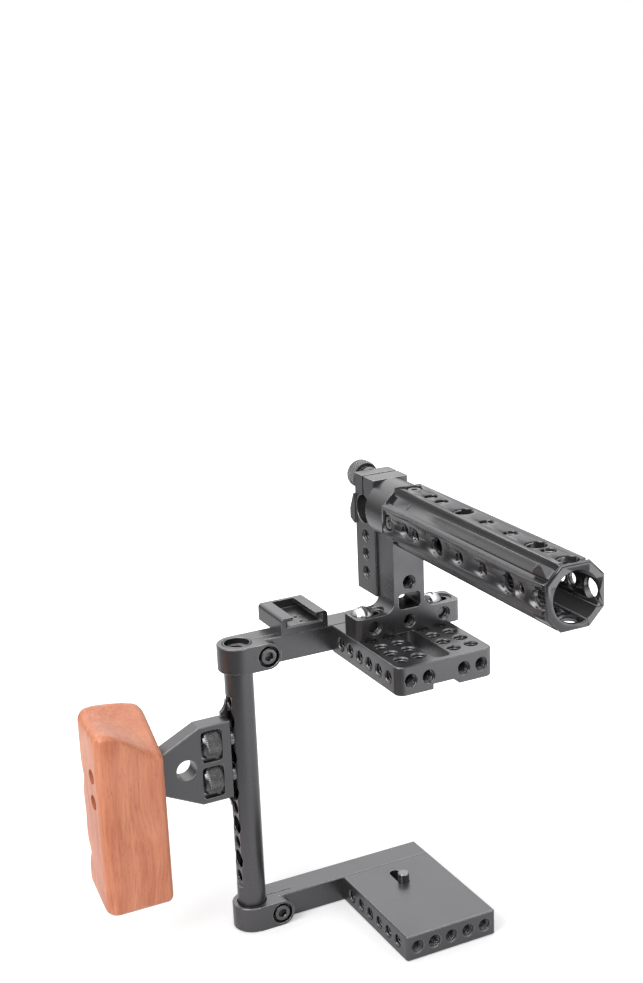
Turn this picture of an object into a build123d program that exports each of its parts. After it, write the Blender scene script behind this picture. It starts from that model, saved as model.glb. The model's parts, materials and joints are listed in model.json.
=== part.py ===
from build123d import *
import math
import os

# Camera cage: base plate, side tube on two split clamp arms, top plate, wooden side grip and top handle.
# Frame: origin at the tripod hole in the middle of the base's underside, +X right, +Y towards the lens,
# +Z up. Millimetres.

# Tapped holes: full diameter and chamfered mouth of the two photographic threads
pitch = 10.0
quarter_bore = 6.35
quarter_mouth = 7.5
three_eighths_bore = 9.5
three_eighths_mouth = 10.8

# Clearances between pieces
running_gap = 0.03
thread_gap = 0.05
slide_gap = 0.05
screw_play = 0.2

# Plates and the camera's room between them
camera_height = 132.0
plate_length = 70.0
base_width = 53.0
base_thick = 14.0
top_width = 54.4
top_thick = 15.0
base_corner = 1.5
top_corner = 4.5
edge_break = 0.5
side_hole_depth = 9.0
end_hole_depth = 6.5
base_holes_across = 5
holes_along = 6
top_slot_width = 9.8
top_slot_rear = 2.6
top_slot_corner = 3.5
top_slot_front = 42.0
groove_width = 15.0
groove_depth = 3.0

# Camera screw in its slot in the base
camera_slot_near = 15.0
camera_slot_travel = 9.0
camera_screw_d = 6.2
camera_shank_d = 5.0
camera_screw_head_d = 12.5
camera_screw_head_h = 5.0
camera_screw_reach = 5.0
camera_key_width = 2.0
camera_slot_shelf = 7.0
washer_thick = 1.0
tripod_depth = 9.0
tripod_step = 12.0

# Side tube and its clamp arms
rod_d = 15.0
tube_bore = 10.6
tube_mouth = 12.4
tube_recess_d = 13.4
tube_recess_depth = 3.5
tube_offset = 79.2
tube_foot = 1.0
tube_flat_depth = 1.2
tube_flat_inset = 10.5
tube_first_hole = 16.0
carriage_travel = 13.0
arm_depth = 15.0
arm_height = 14.0
clamp_wall = 3.0
clamp_screw_offset = 13.0
clamp_slit = 0.7
clamp_slit_reach = 23.2
clamp_head_d = 9.0
clamp_head_h = 5.0
clamp_well_d = 11.6
clamp_shank_d = 5.0
clamp_key = 4.6
arm_screw_inset = 11.5
arm_screw_head_d = 8.5
arm_screw_head_h = 5.0
arm_screw_shank_d = 5.0
arm_screw_length = 16.5
arm_screw_bite = 7.5

# Grip bracket, its two thumb wheels and the wooden grip
bracket_thick = 9.5
bracket_half = 21.5
bracket_gap = 1.8
bracket_rail = 5.0
bracket_top_run = 17.2
bracket_end_half = 11.0
window_width = 11.7
window_height = 17.5
eye_d = 11.0
eye_offset = 13.5
wheel_d = 16.0
wheel_thick = 9.6
wheel_collar_d = 9.0
wheel_shank_d = 6.25
wheel_tip = 1.0
holes_below_bracket = 7
foot_web = 2.0
foot_rise = 8.5
grip_depth = 35.0
grip_forward = 4.5
grip_width = 32.0
grip_end_gap = 38.7
grip_bottom = 32.0
grip_top = 140.0
grip_rear_corner = 6.0
grip_front_corner = 9.0
grip_edge = 3.5
grip_heel = 3.0
rest_dip = 10.5
rest_fall = 29.0
rest_overrun = 10.0
grip_screw_spread = 14.0
grip_screw_d = 4.0
grip_screw_head_d = 7.5
grip_screw_head_h = 4.0
grip_screw_sink = 8.0
grip_screw_bite = 9.0

# Cold shoe on the upper arm
shoe_width = 26.5
shoe_length = 28.5
shoe_height = 9.0
shoe_x = -42.75
shoe_floor = 4.3
shoe_slot_width = 18.65
shoe_slot_height = 2.4
shoe_mouth = 12.8
shoe_stop = 2.0
shoe_lead = 1.0
shoe_corner = 2.0
shoe_screw_d = 3.0
shoe_screw_head_d = 5.6
shoe_screw_length = 10.0
shoe_screw_spacing = 7.0

# Top handle: foot with two slots, post, round head, barrel
handle_shift = 3.0
handle_travel = 6.0
foot_length = 60.0
foot_width = 16.5
foot_thick = 11.5
foot_y = 14.0
foot_corner = 3.2
dome_d = 11.4
dome_height = 4.5
dome_shank = 6.2
dome_bite = 9.0
dome_recess = 0.8
dome_key_width = 1.3
dome_key_depth = 1.2
post_width = 17.6
post_fillet = 6.0
post_window_width = 12.8
post_window_height = 8.2
post_window_lift = 1.0
post_hole_lift = 15.0
foot_blind_depth = 3.4
barrel_lift = 51.0
barrel_af = 30.0
barrel_flat = 14.6
barrel_bore = 24.0
barrel_length = 143.0
scoop_sagitta = 2.3
end_ring = 2.5
end_chamfer = 1.0
pad_width = 5.0
pad_length = 12.5
pad_corner = 1.5
pad_root = 1.0
low_pad_rise = 0.4
head_d = 30.0
head_gap = 0.75
spigot_length = 12.0
barrel_screw_set = 7.0
barrel_screw_d = 4.0
barrel_screw_head_d = 6.8
barrel_screw_head_h = 2.0
barrel_screw_well_d = 8.3
barrel_screw_length = 6.5
barrel_screw_sink = 0.2
barrel_quarters = (23.0, 33.0, 73.0, 93.0, 122.5)
barrel_three_eighths = (53.0, 113.0, 136.5)

# Rod clamp block on the front of the handle
block_width = 20.0
block_depth = 20.75
block_bottom = 15.5
block_hole_lift = 10.5
block_holes = 3
block_screw_d = 4.0
block_screw_head_d = 7.0
block_screw_head_h = 4.0
block_screw_length = 20.0
block_screw_bite = 9.0
block_screw_sink = 1.0
rod_bore_gap = 0.05
rod_bore_drop = 17.5
rod_bore_y = 11.5
rod_slit = 1.5
lobe_reach = 4.0
lobe_width = 22.0
lobe_root = 2.0
lobe_flat = 5.0
lobe_rise = 6.5
knob_drop = 4.9
knob_d = 15.0
knob_length = 8.0
knob_collar_d = 11.0
knob_collar_length = 6.0
knob_shank_d = 4.9
knob_shank_length = 17.0

# Places that follow from the sizes above
base_top = base_thick
top_bottom = base_top + camera_height
top_top = top_bottom + top_thick
plate_front = plate_length / 2
arm_front = plate_front + arm_depth
clamp_r = rod_d / 2 + clamp_wall
tube_y = arm_front - clamp_r
tube_x = -tube_offset
flat_x = tube_x - rod_d / 2 + tube_flat_depth
flat_low = base_thick + tube_flat_inset
flat_high = top_top - arm_height - carriage_travel - edge_break
tube_hole_low = base_thick + tube_first_hole
bracket_z = tube_hole_low + holes_below_bracket * pitch
rail_x = flat_x - bracket_gap
window_right = rail_x - bracket_rail
grip_inner = flat_x - bracket_gap - grip_end_gap
foot_top = top_top + slide_gap + foot_thick
barrel_z = foot_top + barrel_lift
post_front = foot_y + foot_width / 2
post_rear = foot_y - foot_width / 2
barrel_front = post_rear - head_gap
barrel_rear = barrel_front - barrel_length
block_front = post_front + block_depth
block_top = barrel_z + barrel_af / 2
rod_y = post_front + rod_bore_y
rod_z = block_top - rod_bore_drop
knob_z = block_top - knob_drop


def box_between(low, high):
    """Box from its low corner to its high corner."""
    size = [b - a for a, b in zip(low, high)]
    middle = [(a + b) / 2 for a, b in zip(low, high)]
    return Pos(*middle) * Box(*size)


def turned(points, at, outward):
    """Solid of revolution of (radius, height) points, its +Z turned to a direction."""
    profile = make_face(Plane.XZ * Polyline(*points, close=True))
    return Plane(origin=at, z_dir=outward) * revolve(profile, Axis.Z)


def rod(at, outward, diameter, length):
    """Round bar from a point, running inwards."""
    radius = diameter / 2
    return turned([(0, 0), (radius, 0), (radius, -length), (0, -length)], at, outward)


def tapped(at, outward, bore, mouth, depth, through=False):
    """Cutter for a tapped hole with a chamfered mouth, or with one at each end."""
    lead = (mouth - bore) / 2
    points = [(0, 0), (mouth / 2, 0), (bore / 2, -lead)]
    if through:
        points += [(bore / 2, lead - depth), (mouth / 2, -depth)]
    else:
        points += [(bore / 2, -depth)]
    return turned(points + [(0, -depth)], at, outward)


def quarter(at, outward, depth, through=False):
    """Cutter for a 1/4 inch tapped hole."""
    return tapped(at, outward, quarter_bore, quarter_mouth, depth, through)


def three_eighths(at, outward, depth, through=False):
    """Cutter for a 3/8 inch tapped hole."""
    return tapped(at, outward, three_eighths_bore, three_eighths_mouth, depth, through)


def cap_screw(at, outward, head_d, head_h, shank_d, length, key):
    """Socket cap screw, with the middle of its head's top at a point."""
    head_r = head_d / 2
    rim = edge_break
    points = [(0, 0), (head_r - rim, 0), (head_r, -rim), (head_r, -head_h), (shank_d / 2, -head_h)]
    points += [(shank_d / 2, -head_h - length), (0, -head_h - length)]
    socket = extrude(RegularPolygon(key / 2, 6, major_radius=False), -0.6 * head_h)
    return turned(points, at, outward) - Plane(origin=at, z_dir=outward) * socket


def row(count):
    """Places of a centred row of holes."""
    return [(i - (count - 1) / 2) * pitch for i in range(count)]


def slot_along_y(width, low, high, z0, z1, x=0.0):
    """Slot with round ends, its end centres at low and high."""
    outline = Pos(x, (low + high) / 2, z0) * Rot(0, 0, 90) * SlotCenterToCenter(high - low, width)
    return extrude(outline, z1 - z0)


def slot_along_x(width, low, high, y, z0, z1):
    """Slot with round ends, its end centres at low and high."""
    outline = Pos((low + high) / 2, y, z0) * SlotCenterToCenter(high - low, width)
    return extrude(outline, z1 - z0)


def plate(width, z0, z1, corner):
    """Plate with rounded rear corners and broken edges."""
    blank = box_between((-width / 2, -plate_front, z0), (width / 2, plate_front, z1))
    rear_corners = blank.edges().filter_by(Axis.Z).sort_by(Axis.Y)[:2]
    blank = fillet(rear_corners, corner)
    rims = blank.faces().sort_by(Axis.Z)
    return chamfer(rims[0].edges() + rims[-1].edges(), edge_break)


def arm_screw_places(z):
    """Heads of the screws that hold an arm to its plate."""
    x = base_width / 2 - arm_screw_inset
    return [(side * x, arm_front, z) for side in (-1, 1)]


def side_holes(width, z):
    """Cutters for the rows of holes in a plate's left and right faces."""
    cutters = []
    for y in row(holes_along):
        for side in (-1, 1):
            cutters.append(quarter((side * width / 2, y, z), (side, 0, 0), side_hole_depth))
    return cutters


def base_plate():
    body = plate(base_width, 0, base_thick, base_corner)
    z = base_thick / 2
    far = camera_slot_near + camera_slot_travel
    cutters = side_holes(base_width, z)
    for x in row(base_holes_across):
        cutters.append(quarter((x, -plate_front, z), (0, -1, 0), end_hole_depth))
    slot_width = camera_screw_d + 2 * screw_play
    well_width = camera_screw_head_d + 2 * screw_play
    cutters.append(slot_along_y(slot_width, camera_slot_near, far, 0, base_thick))
    cutters.append(slot_along_y(well_width, camera_slot_near, far, 0, camera_slot_shelf))
    cutters.append(rod((0, 0, 0), (0, 0, -1), three_eighths_bore, tripod_depth))
    for step in (1, 2):
        cutters.append(quarter((0, -step * tripod_step, 0), (0, 0, -1), tripod_depth))
    for x, _, _ in arm_screw_places(z):
        cutters.append(rod((x, plate_front, z), (0, 1, 0), arm_screw_shank_d + thread_gap, arm_screw_bite))
    return body - cutters


def camera_screw():
    head_r = camera_screw_head_d / 2
    shank_r = camera_shank_d / 2
    thread_r = camera_screw_d / 2
    head_top = camera_slot_shelf - washer_thick - 2 * slide_gap
    tip = base_top + camera_screw_reach
    points = [(0, head_top - camera_screw_head_h), (head_r, head_top - camera_screw_head_h)]
    points += [(head_r, head_top), (shank_r, head_top), (shank_r, base_top), (thread_r, base_top)]
    points += [(thread_r, tip - edge_break), (thread_r - edge_break, tip), (0, tip)]
    body = turned(points, (0, camera_slot_near, 0), (0, 0, 1))
    groove_low = head_top - camera_screw_head_h
    groove = box_between((-head_r, camera_slot_near - camera_key_width / 2, groove_low),
                         (head_r, camera_slot_near + camera_key_width / 2, groove_low + camera_key_width))
    return body - groove


def camera_screw_washer():
    z1 = camera_slot_shelf - slide_gap
    outer = (camera_screw_head_d - 1) / 2
    inner = camera_shank_d / 2 + thread_gap
    points = [(inner, z1 - washer_thick), (outer, z1 - washer_thick), (outer, z1), (inner, z1)]
    return turned(points, (0, camera_slot_near, 0), (0, 0, 1))


def arm(z0):
    """Arm from the plate's front to the split clamp around the tube."""
    z1 = z0 + arm_height
    z = z0 + arm_height / 2
    right = base_width / 2
    jaw_x = tube_x + clamp_screw_offset
    bar = box_between((tube_x, plate_front, z0), (right, arm_front, z1))
    ring = Pos(tube_x, tube_y, z) * Cylinder(clamp_r, arm_height)
    body = bar + ring
    body = chamfer(body.edges().group_by(Axis.Z)[-1], edge_break)
    body = chamfer(body.edges().group_by(Axis.Z)[0], edge_break)
    body += box_between((tube_x, tube_y - clamp_r, z0), (jaw_x, tube_y, z1))
    body += rod((jaw_x, tube_y, z), (0, 1, 0), arm_height, clamp_r)
    bore_r = rod_d / 2 + running_gap
    bore = turned([(0, z1), (bore_r + edge_break, z1), (bore_r, z1 - edge_break),
                   (bore_r, z0 + edge_break), (bore_r + edge_break, z0), (0, z0)],
                  (tube_x, tube_y, 0), (0, 0, 1))
    slit = box_between((tube_x, tube_y - clamp_slit / 2, z0),
                       (tube_x + clamp_slit_reach, tube_y + clamp_slit / 2, z1))
    jaw_face = (jaw_x, tube_y - clamp_r, z)
    well = rod(jaw_face, (0, -1, 0), clamp_well_d, clamp_head_h)
    screw_hole = rod(jaw_face, (0, -1, 0), clamp_shank_d + 2 * thread_gap, 2 * clamp_r - clamp_wall)
    cutters = [bore, slit, well, screw_hole]
    for place in arm_screw_places(z):
        cutters.append(rod(place, (0, 1, 0), arm_screw_head_d + 2 * screw_play, arm_screw_head_h))
        cutters.append(rod(place, (0, 1, 0), arm_screw_shank_d + 2 * screw_play, arm_depth))
    return body - cutters


def clamp_screw(z0):
    place = (tube_x + clamp_screw_offset, tube_y - clamp_r, z0 + arm_height / 2)
    length = 2 * clamp_r - clamp_wall - clamp_head_h - 1
    return cap_screw(place, (0, -1, 0), clamp_head_d, clamp_head_h, clamp_shank_d, length, clamp_key)


def arm_screw(place):
    return cap_screw(place, (0, 1, 0), arm_screw_head_d, arm_screw_head_h, arm_screw_shank_d,
                     arm_screw_length - thread_gap, 0.5 * arm_screw_head_d)


def side_tube():
    outer = rod_d / 2
    inner = tube_bore / 2
    lead = (tube_mouth - tube_bore) / 2
    points = [(inner, tube_foot + lead), (inner + lead, tube_foot), (outer - edge_break, tube_foot)]
    points += [(outer, tube_foot + edge_break), (outer, top_top - edge_break)]
    recess = tube_recess_d / 2
    ledge = top_top - tube_recess_depth
    points += [(outer - edge_break, top_top), (recess, top_top), (recess, ledge), (inner, ledge)]
    body = turned(points, (tube_x, tube_y, 0), (0, 0, 1))
    flat = box_between((flat_x - rod_d, tube_y - rod_d, flat_low), (flat_x, tube_y + rod_d, flat_high))
    cutters = [flat]
    depth = rod_d / 2 - tube_flat_depth
    count = int((flat_high - tube_hole_low) // pitch) + 1
    for i in range(count):
        place = (flat_x, tube_y, tube_hole_low + i * pitch)
        cutter = quarter if i % 2 == 0 else three_eighths
        cutters.append(cutter(place, (-1, 0, 0), depth))
    return body - cutters


def bracket_outline():
    """Outline of the bracket seen from behind, as X and Z."""
    top_x = rail_x - bracket_top_run
    half = bracket_half
    end = bracket_end_half
    return [(rail_x, bracket_z - half), (top_x, bracket_z - half), (grip_inner, bracket_z - end),
            (grip_inner, bracket_z + end), (top_x, bracket_z + half), (rail_x, bracket_z + half)]


def wheel_places():
    """Heights of the two thumb wheels."""
    return [bracket_z - pitch, bracket_z + pitch]


def grip_bracket():
    y_rear = tube_y - bracket_thick / 2
    y_front = tube_y + bracket_thick / 2
    face = make_face(Plane.XZ * Polyline(*bracket_outline(), close=True))
    body = extrude(Pos(0, y_front, 0) * face, bracket_thick, dir=(0, -1, 0))
    body = chamfer(body.edges().group_by(Axis.Y)[0], edge_break)
    cutters = []
    for z in wheel_places():
        window = Pos(window_right - window_width / 2, tube_y, z) * Box(window_width, rod_d, window_height)
        cutters.append(fillet(window.edges().filter_by(Axis.Y), 2.0))
        cutters.append(rod((rail_x, tube_y, z), (1, 0, 0), wheel_shank_d + 2 * running_gap,
                           bracket_rail + window_width + wheel_tip + running_gap))
    cutters.append(rod((grip_inner + eye_offset, y_rear, bracket_z), (0, -1, 0), eye_d, bracket_thick))
    for z in grip_screw_heights():
        cutters.append(rod((grip_inner, tube_y, z), (-1, 0, 0), grip_screw_d + thread_gap, grip_screw_bite))
    body -= cutters
    return body + bracket_foot(y_front)


def bracket_foot(y_front):
    """Thin foot along the bracket's front edge that bears on the tube's flat, with swept ends."""
    half = bracket_half
    x0 = rail_x - 2.0
    low = bracket_z - half - foot_rise
    high = bracket_z + half + foot_rise
    blank = box_between((x0, y_front - foot_web, low), (flat_x, y_front, high))
    sweeps = []
    for end, side in ((low, -1), (high, 1)):
        sweeps.append(rod((flat_x - foot_rise, y_front, end), (0, 1, 0), 2 * foot_rise - 1.0, foot_web))
    collars = []
    for z in wheel_places():
        collars.append(rod((flat_x, tube_y, z), (1, 0, 0), wheel_collar_d + 2 * screw_play, bracket_gap))
    inside = box_between((x0, y_front - foot_web, bracket_z - half), (rail_x, y_front, bracket_z + half))
    return blank - sweeps - collars - inside


def thumb_wheel(z):
    """Knurled wheel on its screw; the screw's threaded end is in the tube."""
    middle = window_right - window_width / 2
    half = wheel_thick / 2
    wheel_r = wheel_d / 2
    shank_r = wheel_shank_d / 2
    tip_x = window_right - window_width - wheel_tip
    end_x = flat_x + rod_d / 2 - tube_flat_depth
    points = [(0, tip_x), (shank_r, tip_x), (shank_r, middle - half), (wheel_r - 1, middle - half)]
    points += [(wheel_r, middle - half + 1), (wheel_r, middle + half - 1), (wheel_r - 1, middle + half)]
    points += [(shank_r, middle + half), (shank_r, end_x - edge_break)]
    points += [(shank_r - edge_break, end_x), (0, end_x)]
    return turned(points, (0, tube_y, z), (1, 0, 0))


def wheel_collar(z):
    """Washer in the gap between the bracket's rail and the tube's flat."""
    outer = wheel_collar_d / 2
    inner = wheel_shank_d / 2 + thread_gap
    points = [(inner, rail_x), (outer, rail_x), (outer, flat_x), (inner, flat_x)]
    return turned(points, (0, tube_y, z), (1, 0, 0))


def grip_screw_heights():
    """Heights of the two screws through the wood."""
    return [bracket_z - grip_screw_spread / 2, bracket_z + grip_screw_spread / 2]


def grip_outline():
    """Side outline of the grip: plain palm side, waved finger side, as Y and Z from its rear bottom."""
    front = grip_width
    height = grip_top - grip_bottom
    brow_set = 0.125 * front
    palm = Line((0, grip_heel), (0, height))
    brow = Line((0, height), (front - brow_set, height))
    waves = [(front - brow_set, height), (0.98 * front, 0.80 * height), (0.89 * front, 0.61 * height),
             (0.96 * front, 0.42 * height), (0.90 * front, 0.32 * height), (0.94 * front, 0.24 * height),
             (0.91 * front, 0.17 * height), (0.95 * front, 0.11 * height), (0.72 * front, 0.055 * height),
             (0.38 * front, 0.025 * height)]
    fingers = Spline(*waves)
    heel = Line(fingers @ 1, (grip_heel, 0))
    toe = Line((grip_heel, 0), (0, grip_heel))
    return make_face(Curve() + [palm, brow, fingers, heel, toe])


def wooden_grip():
    outer = grip_inner - grip_depth
    rear = tube_y + grip_forward - grip_width / 2
    footprint = box_between((outer, rear, grip_bottom), (grip_inner, rear + grip_width, grip_top))
    uprights = footprint.edges().filter_by(Axis.Z).sort_by(Axis.Y)
    block = fillet(uprights[:2], grip_rear_corner)
    block = fillet(block.edges().filter_by(Axis.Z).sort_by(Axis.Y)[-2:], grip_front_corner)
    side = Plane(origin=(outer, rear, grip_bottom), x_dir=(0, 1, 0), z_dir=(1, 0, 0)) * grip_outline()
    body = block & extrude(side, grip_depth, dir=(1, 0, 0))
    body -= grip_top_cutter(outer, rear)
    rims = body.edges().filter_by(lambda e: e.center().Z > grip_top - 1.1 * rest_fall)
    body = fillet(rims.filter_by(lambda e: e.bounding_box().size.Z < rest_fall), grip_edge)
    for z in grip_screw_heights():
        face = (outer, tube_y, z)
        body -= rod(face, (-1, 0, 0), grip_screw_head_d + 2 * screw_play, grip_screw_sink)
        body -= rod(face, (-1, 0, 0), grip_screw_d + 2 * screw_play, grip_depth)
    return body


def grip_top_cutter(outer, rear):
    """Everything above the thumb rest, which falls away from the outer front corner to the inner rear one."""
    front = rear + grip_width
    run = math.hypot(grip_depth, grip_width)
    across = (grip_depth / run, -grip_width / run, 0)
    plane = Plane(origin=(outer, front, grip_top), x_dir=across, z_dir=(across[1], -across[0], 0))
    end = run + rest_overrun / 2
    above = 2 * rest_overrun
    slope = ThreePointArc((-rest_overrun, 2), (0.53 * run, -rest_dip), (end, -rest_fall))
    edges = [slope, Line(slope @ 1, (end, above)), Line((end, above), (-rest_overrun, above)),
             Line((-rest_overrun, above), slope @ 0)]
    face = make_face(Curve() + edges)
    return extrude(plane * face, 2 * run, both=True)


def grip_screw(z):
    outer = grip_inner - grip_depth
    place = (outer + grip_screw_sink - grip_screw_head_h, tube_y, z)
    length = grip_depth - grip_screw_sink + grip_screw_bite - 1
    return cap_screw(place, (-1, 0, 0), grip_screw_head_d, grip_screw_head_h, grip_screw_d, length, 3.0)


def top_rows():
    """Rows of holes in the top plate's face; the handle's row lies under the middle of its foot."""
    rows = row(holes_along)
    rows[-2] = foot_y
    return rows


def cheese_plate():
    body = plate(top_width, top_bottom, top_top, top_corner)
    z = (top_bottom + top_top) / 2
    cutters = side_holes(top_width, z)
    columns = (-2 * pitch, -pitch, pitch, 2 * pitch)
    for x in columns:
        cutters.append(quarter((x, -plate_front, z), (0, -1, 0), end_hole_depth))
        for y in top_rows():
            cutters.append(quarter((x, y, top_top), (0, 0, 1), top_thick))
    slot = box_between((-top_slot_width / 2, -plate_front + top_slot_rear, top_bottom),
                       (top_slot_width / 2, -plate_front + top_slot_front, top_top))
    cutters.append(fillet(slot.edges().filter_by(Axis.Z), top_slot_corner))
    cutters.append(box_between((-groove_width / 2, -plate_front, top_bottom),
                               (groove_width / 2, plate_front, top_bottom + groove_depth)))
    for x, _, screw_z in arm_screw_places(top_top - arm_height / 2):
        place = (x, plate_front, screw_z)
        cutters.append(rod(place, (0, 1, 0), arm_screw_shank_d + thread_gap, arm_screw_bite))
    return body - cutters


def cold_shoe():
    y0 = plate_front
    y1 = y0 + shoe_length
    half = shoe_width / 2
    body = box_between((shoe_x - half, y0, top_top), (shoe_x + half, y1, top_top + shoe_height))
    body = fillet(body.edges().filter_by(Axis.Y).group_by(Axis.Z)[-1], shoe_corner)
    floor = top_top + shoe_floor
    lip = floor + shoe_slot_height
    slot = box_between((shoe_x - shoe_slot_width / 2, y0, floor),
                       (shoe_x + shoe_slot_width / 2, y1 - shoe_stop, lip))
    mouth = box_between((shoe_x - shoe_mouth / 2, y0, floor),
                        (shoe_x + shoe_mouth / 2, y1 - shoe_stop, top_top + shoe_height))
    cutters = [slot, mouth, shoe_lead_cutter(floor, lip)]
    for y in shoe_screw_rows():
        place = (shoe_x, y, floor)
        cutters.append(countersunk(place, shoe_screw_d + 2 * thread_gap, shoe_screw_head_d + 2 * thread_gap,
                                   shoe_floor))
    return body - cutters


def shoe_lead_cutter(floor, lip):
    """Flared entry of the shoe's slot: a wedge that narrows from the rear face."""
    wide = Plane.XZ.offset(-plate_front) * Pos(shoe_x, (floor + lip) / 2) * Rectangle(
        shoe_slot_width + 2 * shoe_lead, shoe_slot_height + 2 * shoe_lead)
    narrow = Plane.XZ.offset(-plate_front - shoe_lead) * Pos(shoe_x, (floor + lip) / 2) * Rectangle(
        shoe_slot_width, shoe_slot_height)
    return loft([wide, narrow])


def shoe_screw_rows():
    """Places of the cold shoe's two screws along the arm's depth."""
    middle = plate_front + arm_depth / 2
    return [middle - shoe_screw_spacing / 2, middle + shoe_screw_spacing / 2]


def countersunk(place, shank_d, head_d, length):
    """Countersunk screw form, its flat head's top at a point."""
    cone = (head_d - shank_d) / 2
    points = [(0, 0), (head_d / 2, 0), (shank_d / 2, -cone), (shank_d / 2, -length), (0, -length)]
    return turned(points, place, (0, 0, 1))


def shoe_screw(y):
    place = (shoe_x, y, top_top + shoe_floor)
    body = countersunk(place, shoe_screw_d, shoe_screw_head_d, shoe_screw_length)
    return body - Pos(*place) * extrude(RegularPolygon(1.0, 6, major_radius=False), -1.2)


def upper_arm():
    body = arm(top_top - arm_height)
    for y in shoe_screw_rows():
        depth = shoe_screw_length - shoe_floor + 1
        body -= rod((shoe_x, y, top_top), (0, 0, 1), shoe_screw_d + thread_gap, depth)
    return body


def dome_screw(x):
    """Domed clamp screw through a slot of the handle's foot into the top plate."""
    seat = foot_top - dome_recess + slide_gap
    head_r = dome_d / 2
    shoulder_r = dome_shank / 2
    bite_r = quarter_bore / 2 - thread_gap
    profile = [(0, top_top - dome_bite), (bite_r, top_top - dome_bite), (bite_r, top_top)]
    profile += [(shoulder_r, top_top), (shoulder_r, seat), (head_r, seat), (head_r, seat + 1)]
    rim = [Line(a, b) for a, b in zip(profile, profile[1:])]
    dome = ThreePointArc((head_r, seat + 1), (0.72 * head_r, seat + 0.74 * dome_height),
                         (0, seat + dome_height))
    axis = Line((0, seat + dome_height), (0, top_top - dome_bite))
    face = make_face(Plane.XZ * (Curve() + rim + [dome, axis]))
    body = Pos(x, foot_y, 0) * revolve(face, Axis.Z)
    for turn in (0, 90):
        bar = Rot(0, 0, turn) * Box(0.62 * dome_d, dome_key_width, 2 * dome_key_depth)
        body -= Pos(x, foot_y, seat + dome_height) * bar
    return body


def handle_stem():
    """Foot, post and round head of the handle in one milled piece."""
    x = handle_shift
    foot_low = top_top + slide_gap
    half = foot_length / 2
    foot = box_between((x - half, post_rear, foot_low), (x + half, post_front, foot_top))
    foot = fillet(foot.edges().filter_by(Axis.Z), foot_corner)
    post = box_between((x - post_width / 2, post_rear, foot_top), (x + post_width / 2, post_front, barrel_z))
    root = foot + post
    inner = root.edges().filter_by(Axis.Y).filter_by_position(Axis.Z, foot_top, foot_top)
    root = fillet(inner.filter_by_position(Axis.X, x - post_width, x + post_width), post_fillet)
    head = rod((x, post_front, barrel_z), (0, 1, 0), head_d, post_front - barrel_front)
    spigot = rod((x, barrel_front, barrel_z), (0, 1, 0), barrel_bore - 2 * running_gap, spigot_length)
    body = root + head + spigot
    cutters = []
    window_z = foot_top + post_window_lift + post_window_height / 2
    window = Pos(x, foot_y, window_z) * Box(post_window_width, foot_width, post_window_height)
    cutters.append(fillet(window.edges().filter_by(Axis.Y), 2.0))
    for side in (-1, 1):
        middle = x + side * 2 * pitch
        near = middle - handle_travel / 2
        far = middle + handle_travel / 2
        cutters.append(slot_along_x(dome_shank + 2 * screw_play, near, far, foot_y, foot_low, foot_top))
        cutters.append(slot_along_x(dome_d + 2 * screw_play, near, far, foot_y, foot_top - dome_recess,
                                    foot_top + post_fillet))
        cutters.append(quarter((middle, post_rear, foot_low + foot_thick / 2), (0, -1, 0), foot_blind_depth))
    cutters.append(quarter((x, post_rear, foot_low + foot_thick / 2), (0, -1, 0), side_hole_depth))
    cutters.append(quarter((x, post_rear, foot_top + post_hole_lift), (0, -1, 0), side_hole_depth))
    for z in block_screw_heights():
        cutters.append(rod((x, post_front, z), (0, 1, 0), block_screw_d + thread_gap, block_screw_bite))
    for place, outward in barrel_screw_places():
        cutters.append(rod(place, outward, barrel_screw_d + thread_gap, barrel_screw_length + 1))
    return body - cutters


def barrel_section():
    """Corners of the barrel's octagon, which has narrow flats and wide diagonal sides."""
    far = barrel_af / 2
    near = barrel_flat / 2
    return [(near, far), (far, near), (far, -near), (near, -far),
            (-near, -far), (-far, -near), (-far, near), (-near, far)]


def scoop_cutters(y0, y1):
    """Round-bottomed cuts along the barrel's four diagonals between two places."""
    far = barrel_af / 2
    near = barrel_flat / 2
    chord = (far - near) * math.sqrt(2)
    radius = (chord ** 2 / 4 + scoop_sagitta ** 2) / (2 * scoop_sagitta)
    reach = (far + near) / math.sqrt(2) - scoop_sagitta + radius
    cutters = []
    for turn in (45, 135, 225, 315):
        a = math.radians(turn)
        centre = (handle_shift + reach * math.cos(a), y1, barrel_z + reach * math.sin(a))
        cutters.append(rod(centre, (0, 1, 0), 2 * radius, y1 - y0))
    return cutters


def pads():
    """Raised keys in the scoops: tall ones against the rear ring, low ones near the front."""
    far = barrel_af / 2
    near = barrel_flat / 2
    inner = barrel_bore / 2 + pad_root
    outer = (far + near) / math.sqrt(2)
    low = outer - scoop_sagitta + low_pad_rise
    middle = pad_length / 2
    pieces = []
    for reach, y in ((outer, barrel_rear + end_ring + middle), (low, barrel_front - pad_width - middle)):
        bar = Pos((reach + inner) / 2, 0, 0) * Box(reach - inner, pad_length, pad_width)
        bar = fillet(bar.edges().filter_by(Axis.X).sort_by(Axis.Y)[-2:], pad_corner)
        for turn in (45, 135, 225, 315):
            pieces.append(Pos(handle_shift, y, barrel_z) * Rot(0, turn, 0) * bar)
    return pieces


def flat_directions():
    """Outward directions of the barrel's four flats."""
    return [(0, 0, 1), (0, 0, -1), (1, 0, 0), (-1, 0, 0)]


def on_flat(outward, y, distance=barrel_af / 2):
    """Point on a flat of the barrel."""
    return (handle_shift + distance * outward[0], y, barrel_z + distance * outward[2])


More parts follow.
